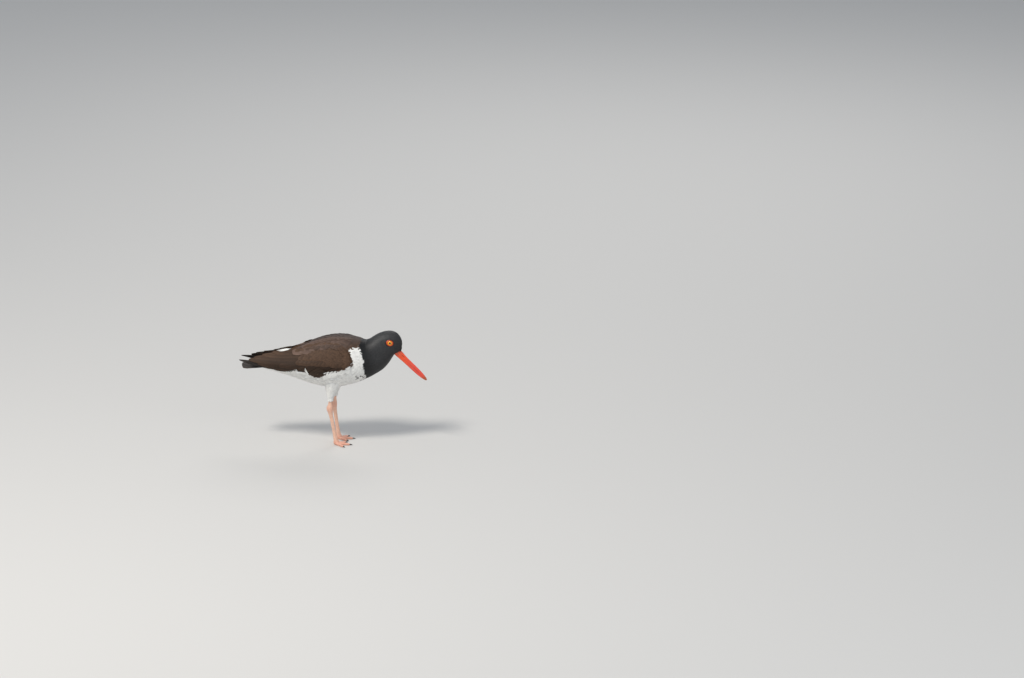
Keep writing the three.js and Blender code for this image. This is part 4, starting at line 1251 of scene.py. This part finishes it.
# ------------------------------------------------------------------ skin: one surface under the plumage, and bare below it
nt_, nth_ = 150, 96
tt = np.linspace(0.6, 21.93, nt_)[:, None]
hh = np.linspace(-math.pi, math.pi, nth_, endpoint=False)[None, :]
P = body_point(tt, hh, depth_at(tt) + 0.35)
skin = shell([loft(P)], "skin")
for side, word in SIDES:
    ang = np.linspace(0, 2 * math.pi, 40, endpoint=False)[None]
    q = np.linspace(0, 5.6, 44)[:, None]
    thigh = shell([loft(limb_point(side, THIGH, q, ang, np.interp(q, [0, 3, 5, 5.6], [3.0, 2.2, 0.9, 0.5])))], "thigh_tmp")
    for other in (thigh, legs[side][0]):
        mod = skin.modifiers.new("b", "BOOLEAN")
        mod.operation, mod.solver, mod.object = "UNION", "MANIFOLD", other
        applied(skin)
        bpy.data.objects.remove(other)
me = skin.data
v = read(me)
print("skin", len(v), len(me.polygons), v.min(0), v.max(0))
me.vertices.foreach_set("co", ((v + np.array([SHIFT, 0, 0])) * MM).astype(np.float32).ravel())
z = v[:, 2]
c = zone(v[:, 0], v[:, 1], v[:, 2])
col = np.where(c[:, None] == 0, BLACK_NECK * 0.8, np.where(c[:, None] == 1, BROWN_C * 0.7, WHITE * 0.9))
bare = z < 99
flesh = LEG_C[None] * (1 - 0.0 * z[:, None])
warm = smooth(-np.abs(z - 74), -9, -2)[:, None]
flesh = flesh * (1 - 0.10 * warm * np.array([0.3, 1.0, 1.1]))
low = smooth(-z, -16, -3)[:, None]
flesh = flesh * (1 - low) + lin(236, 176, 152)[None] * low
side_grey = 0.5 + 0.5 * np.sin(z * 0.55 + v[:, 0] * 1.3) * np.sin(z * 0.21 + 2.0)
flesh = flesh * (1 - 0.08 * side_grey[:, None])
col = np.where(bare[:, None], flesh, col)
rgba = np.ones((len(v), 4), np.float32)
rgba[:, :3] = col
me.attributes.new("Col", "FLOAT_COLOR", "POINT").data.foreach_set("color", rgba.ravel())
me.polygons.foreach_set("use_smooth", np.ones(len(me.polygons), bool))
me.update()


def skin_material():
    m = bpy.data.materials.new("skin")
    m.use_nodes = True
    nt = m.node_tree
    new, link = nt.nodes.new, nt.links.new
    bsdf = nt.nodes["Principled BSDF"]
    co_ = new("ShaderNodeTexCoord")
    att = new("ShaderNodeAttribute"); att.attribute_name = "Col"
    blot = new("ShaderNodeTexNoise"); blot.inputs["Scale"].default_value = 220; blot.inputs["Detail"].default_value = 5
    link(co_.outputs["Object"], blot.inputs["Vector"])
    mr = new("ShaderNodeMapRange")
    for k, val in (("From Min", 0.3), ("From Max", 0.7), ("To Min", 0.90), ("To Max", 1.06)):
        mr.inputs[k].default_value = val
    link(blot.outputs["Fac"], mr.inputs["Value"])
    vor = new("ShaderNodeTexVoronoi"); vor.feature = "DISTANCE_TO_EDGE"; vor.inputs["Scale"].default_value = 620
    link(co_.outputs["Object"], vor.inputs["Vector"])
    edge_ = new("ShaderNodeMapRange")
    for k, val in (("From Min", 0.0), ("From Max", 0.14), ("To Min", 0.86), ("To Max", 1.0)):
        edge_.inputs[k].default_value = val
    link(vor.outputs["Distance"], edge_.inputs["Value"])
    mul = new("ShaderNodeMath"); mul.operation = "MULTIPLY"
    link(mr.outputs["Result"], mul.inputs[0]); link(edge_.outputs["Result"], mul.inputs[1])
    sc = new("ShaderNodeVectorMath"); sc.operation = "SCALE"
    link(att.outputs["Color"], sc.inputs[0]); link(mul.outputs[0], sc.inputs["Scale"])
    link(sc.outputs["Vector"], bsdf.inputs["Base Color"])
    bp = new("ShaderNodeBump"); bp.inputs["Strength"].default_value = 0.5; bp.inputs["Distance"].default_value = 0.00015
    link(edge_.outputs["Result"], bp.inputs["Height"])
    link(bp.outputs["Normal"], bsdf.inputs["Normal"])
    bsdf.inputs["Roughness"].default_value = 0.46
    bsdf.inputs["Specular IOR Level"].default_value = 0.45
    return m


MAT_SKIN = skin_material()
me.materials.clear()
finish_piece(skin, MAT_SKIN, "leg_skin", "head", "neck", "trunk", "rump", "thigh_right", "thigh_left", "leg_right", "leg_left", "foot_right", "foot_left")

# ------------------------------------------------------------------ plumage of the thighs
thigh_f = Plumes("coat_thighs", 4, 3)
for side, word in SIDES:
    def tp(a_, b_, side=side):
        return limb_point(side, THIGH, a_, b_, np.interp(a_, [0, 3, 5, 6], [2.4, 2.0, 0.9, 0.3]))
    TS = Surface(tp, 1)
    check_out(TS, 2.5, 0.3, np.array([0, side * STANCE, 112.0]))
    def gap_t(a_, b_, p_):
        return np.interp(a_, [0, 2, 4, 5.4], [1.55, 1.35, 1.05, 0.85])
    ta, tb, tp_ = scatter(TS.point, (0.2, 5.25), (-math.pi, math.pi), gap_t, 16000, rng)
    n = len(ta)
    L = np.interp(ta, [0, 2, 4, 5.3], [12, 10.5, 7.5, 4.6]) * rng.uniform(0.85, 1.15, n)
    A, Bv = march(TS, ta, tb, L, rng.normal(0, 0.13, n), 5)
    s_ = spaced(5, 1.35)[None]
    li = np.interp(ta, [0, 3, 5, 6], [2.4, 2.2, 1.5, 1.1])[:, None] * (0.1 + 0.9 * (1 - (1 - s_) ** 1.7)) + rng.normal(0, 0.16, (n, 1)) + s_**2 * rng.uniform(-0.2, 0.5, (n, 1))
    col = np.repeat(WHITE[None], n, 0) * (1 + rng.normal(0, 0.03, (n, 1)))
    place = np.stack([0.02 + 0.46 * ((tb / (2 * math.pi)) % 1.0) + (0.5 if side > 0 else 0), 0.02 + 0.95 * ta / 6], -1)
    plume_mesh(thigh_f, TS, A, Bv, np.interp(ta, [0, 3, 5.3], [2.2, 1.8, 1.1]), li, "contour", col, col, col, place, camber=0.08, thick=0.22, ragged=0.1, shaft=1.0)
ob = thigh_f.build()
finish_piece(ob, MAT_WHITE, "body_plumage")
print("thigh feathers", thigh_f.count(), thigh_f.triangles())

# ------------------------------------------------------------------ claws
def claw_mesh(side, f, length, claw, name):
    a_, o, _ = f
    L = length
    tab = np.array([[L - 1.2, 1.75, 1.35, 1.3], [L + 0.3, 1.85, 1.25, 1.15], [L + claw * 0.4, 1.9, 1.05, 0.95], [L + claw * 0.75, 1.5, 0.72, 0.66], [L + claw * 0.97, 0.95, 0.36, 0.36]])
    t_ = np.linspace(0, 4, 26)[:, None]
    b_ = np.linspace(0, 2 * math.pi, 20, endpoint=False)[None]
    p = toe_point((a_, o, tab), t_, b_)
    p[..., 2] = np.maximum(p[..., 2], 0.02)
    polys = grid_polys(26, 20)
    k = np.repeat(np.linspace(0, 1, 26), 20)
    c_ = lin(70, 56, 50)[None] * (1 - k[:, None]) + lin(26, 22, 22)[None] * k[:, None]
    ob_ = new_mesh(name, p.reshape(-1, 3), polys, c_)
    return ob_


MAT_CLAW = node_material("claw", 0.35, spec=0.5, barb=0, noise=0.25, noise_scale=900)
for side, word in SIDES:
    for (name, turn, length, claw) in TOES:
        ob = claw_mesh(side, legs[side][1][name], length, claw, "nail_%s_%s" % (word, name))
        finish_piece(ob, MAT_CLAW, "claw", "claw_%s_%s" % (word, name))

# ------------------------------------------------------------------ bill
AX = unit(BILL_TIP - BILL_BASE)
BUP = np.array([-AX[2], 0, AX[0]])
BLEN = float(np.linalg.norm(BILL_TIP - BILL_BASE))
BILL = np.array([[-0.1, 6.4, -6.2, 5.2, 0], [0, 7.2, -6.9, 5.6, 0], [0.08, 7.3, -6.8, 5.2, 0.1], [0.2, 6.2, -6.3, 4.2, 0.2], [0.38, 5.6, -5.9, 3.2, 0.1], [0.55, 5.6, -5.9, 2.5, 0],
                 [0.7, 5.2, -5.6, 2.1, -0.1], [0.84, 4.3, -4.6, 1.8, -0.2], [0.94, 3.0, -3.2, 1.5, -0.3], [1, 1.5, -1.5, 1.1, -0.4]])


def mandible(upper):
    n, m = 150, 64
    t_ = np.linspace(0, 9, n)
    q = rows(BILL, t_)
    s_, top, bottom, w, line = (q[:, k][:, None] for k in range(5))
    s_ = s_ * BLEN
    sign = 1 if upper else -1
    # round the outside, then back along the biting edge, slightly hollow
    k1 = 46
    a_ = np.concatenate([np.linspace(0, math.pi, k1), np.full(m - k1, np.nan)])
    h = (top - line if upper else line - bottom) - 0.15
    c = np.cos(np.linspace(0, math.pi, k1))[None]
    y_out = w * np.sign(c) * np.abs(c) ** 0.85
    sn = np.sin(np.linspace(0, math.pi, k1))[None]
    n_out = line + sign * (0.15 + h * sn**0.8)
    k2 = m - k1
    f = (np.arange(k2) + 1) / (k2 + 1)
    y_in = w * (-1 + 2 * f)[None] * 0.96
    n_in = line + sign * (0.15 + 0.5 * np.sin(np.pi * f)[None] * smooth(-s_, -70, -50))
    Y = np.concatenate([y_out, y_in], 1)
    Nn = np.concatenate([n_out, n_in], 1)
    S = np.repeat(s_, m, 1)
    side_ = np.sign(Y)
    out = np.zeros_like(Y)
    if upper:
        # groove and slit of the nostril, running forward and fading
        g = np.exp(-((Nn - (3.3 - 0.012 * (S - 10))) / 0.85) ** 2) * smooth(S, 1.5, 6) * (1 - smooth(S, 26, 44))
        slit = np.exp(-((Nn - 3.2) / 0.55) ** 2 - ((S - 12) / 4.0) ** 4)
        out -= 0.38 * g + 1.05 * slit
        out += 0.18 * np.exp(-((Nn - 1.0) / 0.8) ** 2) * smooth(S, 0, 10) * (1 - smooth(S, 50, 70))  # raised biting edge
    else:
        g = np.exp(-((Nn + 2.6) / 1.0) ** 2) * smooth(S, 4, 12) * (1 - smooth(S, 34, 56))
        out -= 0.28 * g
    # wrinkled corner of the gape
    near = np.exp(-((S - 0.5) / 4.5) ** 2) * np.exp(-(Nn / 2.2) ** 2)
    out += near * (0.35 + 0.16 * np.sin(S * 3.2 + 0.8 * Nn))
    # wear: shallow nicks along the shaft of the bill
    out += 0.035 * np.sin(S * 1.9 + 2.0 * np.sin(S * 0.37)) * smooth(S, 18, 40) * (np.abs(Y) > 0.6)
    inner = np.zeros(m, bool); inner[k1:] = True
    out[:, inner] = 0
    Yd = Y + side_ * out * smooth(np.abs(Y), 0.2, 1.2)
    Nd = Nn.copy()
    if upper:
        Nd += np.where(np.abs(Y) < 1.2, 0.0, 0.0)
    p = BILL_BASE + AX * S[..., None] + BUP * Nd[..., None]
    p[..., 1] = Yd
    u = S / BLEN
    base_c, mid_c, tip_c = lin(250, 84, 26), lin(232, 64, 40), lin(176, 92, 48)
    k = smooth(u, 0.10, 0.62)[..., None]
    col_ = base_c * (1 - k) + mid_c * k
    k = smooth(u, 0.80, 1.0)[..., None]
    col_ = col_ * (1 - k) + tip_c * k
    # painted highlight: a paler band along the flank of the middle of the bill and ridge
    bill_painted_highlight = (smooth(u, 0.25, 0.5) * (1 - smooth(u, 0.8, 0.95)))[..., None] * 0.20 * np.exp(-((Nn - sign * 2.5) / 2.0) ** 2)[..., None]
    col_ = col_ * (1 - bill_painted_highlight) + lin(238, 120, 104) * bill_painted_highlight
    if upper:
        # painted shade in the nostril's slit, and lighter painted shade along its groove
        col_ = col_ * (1 - 0.75 * slit[..., None]) + lin(60, 14, 8) * 0.75 * slit[..., None]
        col_ = col_ * (1 - 0.25 * g[..., None])
    nearc = near[..., None] * 0.55
    col_ = col_ * (1 - nearc) + lin(226, 142, 118) * nearc
    streak = 1 + 0.05 * np.sin(Nn * 7 + 1.7 * np.sin(S * 0.2)) * np.sin(S * 0.45 + Nn)
    col_ = col_ * streak[..., None]
    # painted shade: the inner faces between the mandibles are darkened
    col_ = np.where(inner[None, :, None], col_ * 0.45, col_)
    ob_ = new_mesh("mandible_" + ("upper" if upper else "lower"), p.reshape(-1, 3), grid_polys(n, m), np.clip(col_, 0, 1).reshape(-1, 3))
    return ob_


def horn_material(name, rough, coat):
    m = node_material(name, rough, spec=0.5, barb=0, noise=0.08, noise_scale=150, coat=coat, coat_rough=0.22)
    nt = m.node_tree
    new, link = nt.nodes.new, nt.links.new
    tex = new("ShaderNodeTexNoise"); tex.inputs["Scale"].default_value = 700; tex.inputs["Detail"].default_value = 4
    co_ = new("ShaderNodeTexCoord"); link(co_.outputs["Object"], tex.inputs["Vector"])
    bp = new("ShaderNodeBump"); bp.inputs["Strength"].default_value = 0.25; bp.inputs["Distance"].default_value = 0.0001
    link(tex.outputs["Fac"], bp.inputs["Height"]); link(bp.outputs["Normal"], nt.nodes["Principled BSDF"].inputs["Normal"])
    return m


MAT_BILL = horn_material("bill_horn", 0.34, 0.35)
finish_piece(mandible(True), MAT_BILL, "bill", "bill_upper")
finish_piece(mandible(False), MAT_BILL, "bill", "bill_lower")

# ------------------------------------------------------------------ eyes
MAT_EYE = node_material("eye", 0.12, spec=0.5, barb=0, noise=0.10, noise_scale=1400, coat=1.0, coat_rough=0.02)
MAT_RING = horn_material("eye_ring", 0.42, 0.15)


def eye_axes(side):
    o = unit(np.array([0.16, side, 0.05]))
    al = unit(np.array([AX[0], 0, AX[2] * 0.55]))
    al = unit(al - dot(al, o) * o)
    return o, al, np.cross(o, al)


for side, word in SIDES:
    o, al, ac = eye_axes(side)
    centre = np.array([EYE["x"], side * EYE["y"], EYE["z"]])
    n, m = 72, 64
    pol = np.concatenate([np.linspace(0.004, 1.15, 60), np.linspace(1.2, math.pi - 0.01, 12)])[:, None]
    az = np.linspace(0, 2 * math.pi, m, endpoint=False)[None]
    rho = EYE["r"] * np.sin(pol)
    # the clear front stands a little proud, and is drawn in where it meets the white
    r_ = EYE["r"] + 0.22 * np.exp(-(pol / 0.62) ** 4) - 0.05 * np.exp(-((pol - 0.86) / 0.1) ** 2)
    p = centre + (r_ * np.cos(pol))[..., None] * o + (r_ * np.sin(pol) * np.cos(az))[..., None] * al + (r_ * np.sin(pol) * np.sin(az))[..., None] * ac
    rim = 1.85 + 0.05 * np.sin(3 * az + 1)
    pupil = 1 - smooth(rho, rim - 0.10, rim + 0.12)
    iris_in, iris_out = lin(214, 112, 14), lin(250, 184, 44)
    fib = 1 + 0.10 * np.sin(az * 41 + 2 * np.sin(az * 7)) * smooth(rho, 1.7, 2.6) + 0.06 * np.sin(az * 17 + rho * 3)
    k = smooth(rho, 1.6, 3.6)[..., None]
    col_ = (iris_in * (1 - k) + iris_out * k) * fib[..., None]
    k = smooth(rho, 4.3, 4.9)[..., None]
    col_ = col_ * (1 - k) + lin(120, 50, 10) * k
    col_ = col_ * (1 - pupil[..., None]) + np.array([0.004, 0.004, 0.005]) * pupil[..., None]
    ob = new_mesh("eyeball_" + word, p.reshape(-1, 3), grid_polys(n, m), np.clip(col_, 0, 1).reshape(-1, 3))
    finish_piece(ob, MAT_EYE, "iris", "eye_" + word)
    # ring: swollen bare skin, both lids a little heavier than the corners
    n, m = 144, 22
    aa = np.linspace(0, 2 * math.pi, n, endpoint=False)[:, None]
    bb = np.linspace(0, 2 * math.pi, m, endpoint=False)[None]
    u = 0.5 + 0.5 * np.cos(bb)
    crease = 0.16 * np.sin(aa * 26 + 1.5 * np.sin(aa * 3)) * np.sin(np.pi * np.clip(u, 0, 1)) + 0.10 * np.sin(aa * 9 + 1)
    hole = RING["hole"] - 0.12 + 0.22 * np.cos(2 * aa)
    rx = hole + (RING["rx"] - 0.1 - hole) * u
    rz = (RING["hole"] - 0.30) + (RING["rz"] - 0.05 - RING["hole"] + 0.30) * u
    high = 5.05 - 0.9 * u + np.sin(bb) * (RING["depth"] / 2) * (0.75 + 0.25 * (1 - u)) + crease * (np.sin(bb) > 0) * 0.6
    p = centre + (rx * np.cos(aa))[..., None] * al + (rz * np.sin(aa))[..., None] * ac + high[..., None] * o
    # painted shade and light on the creases, darker in their troughs and lighter on their ridges; darker towards the
    # ring's outer edge
    ring_c = lin(226, 84, 34)[None, None] * (1 - 0.22 * u[..., None]) * (1 + 0.5 * crease[..., None])
    # painted shade in the eye's front corner, towards the bill
    corner = np.exp(-((np.cos(aa) - 1) / 0.16) ** 2)[..., None] * smooth(u, 0.2, 0.8)[..., None] + 0 * ring_c[..., :1]
    ring_c = ring_c * (1 - 0.75 * corner) + lin(70, 14, 6) * 0.75 * corner
    # closed both ways
    i_, j_ = np.arange(n)[:, None], np.arange(m)[None]
    f = np.stack([i_ * m + j_, i_ * m + (j_ + 1) % m, ((i_ + 1) % n) * m + (j_ + 1) % m, ((i_ + 1) % n) * m + j_], -1).reshape(-1, 4)
    ob = new_mesh("lids_" + word, p.reshape(-1, 3), [f], np.clip(ring_c, 0, 1).reshape(-1, 3))
    finish_piece(ob, MAT_RING, "eye_ring", "eye_ring_" + word)

# ------------------------------------------------------------------ stage, light, camera
E_, A_ = math.radians(16), math.radians(5)
right = np.array([math.cos(A_), math.sin(A_), 0])
upv = np.array([-math.sin(E_) * math.sin(A_), math.sin(E_) * math.cos(A_), math.cos(E_)])
fwd = np.array([-math.sin(A_) * math.cos(E_), math.cos(A_) * math.cos(E_), -math.sin(E_)])
target = right * 0.3557 + upv * 0.2054
DIST = 12.0
cam = bpy.data.cameras.new("camera")
cam.sensor_width = 36
cam.lens = 36 * DIST / 2.048
cam.clip_start, cam.clip_end = 0.05, 200
co = bpy.data.objects.new("camera", cam)
bpy.context.scene.collection.objects.link(co)
from mathutils import Matrix, Vector
m = Matrix((right, upv, -fwd)).transposed().to_4x4()
m.translation = Vector(target - fwd * DIST)
co.matrix_world = m
bpy.context.scene.camera = co

floor_me = bpy.data.meshes.new("floor")
S_ = 30.0
floor_me.from_pydata([(-S_, -S_, 0), (S_, -S_, 0), (S_, S_, 0), (-S_, S_, 0)], [], [(0, 1, 2, 3)])
floor = bpy.data.objects.new("floor", floor_me)
bpy.context.scene.collection.objects.link(floor)
fm = bpy.data.materials.new("floor")
fm.use_nodes = True
fm.node_tree.nodes["Principled BSDF"].inputs["Base Color"].default_value = (0.62, 0.61, 0.59, 1)
fm.node_tree.nodes["Principled BSDF"].inputs["Roughness"].default_value = 0.9
floor_me.materials.append(fm)

world = bpy.data.worlds.new("world")
bpy.context.scene.world = world
world.use_nodes = True
world.node_tree.nodes["Background"].inputs["Color"].default_value = (0.80, 0.86, 0.95, 1)
world.node_tree.nodes["Background"].inputs["Strength"].default_value = 0.48


def area(name, loc, at, size, power, colour):
    l = bpy.data.lights.new(name, "AREA")
    l.size = size
    l.energy = power
    l.color = colour
    o = bpy.data.objects.new(name, l)
    o.location = loc
    o.rotation_euler = (Vector(at) - Vector(loc)).to_track_quat("-Z", "Y").to_euler()
    bpy.context.scene.collection.objects.link(o)
    return o


area("key", (-1.3, -1.9, 3.3), (0, 0, 0.15), 0.9, 108, (1.0, 0.96, 0.90))
area("fill", (2.4, -2.2, 1.4), (0, 0, 0.15), 2.0, 14, (0.92, 0.96, 1.0))
area("back", (0.6, 2.8, 2.4), (0, 0, 0.15), 1.6, 28, (1.0, 0.98, 0.95))
bpy.context.scene.view_settings.view_transform = "Standard"
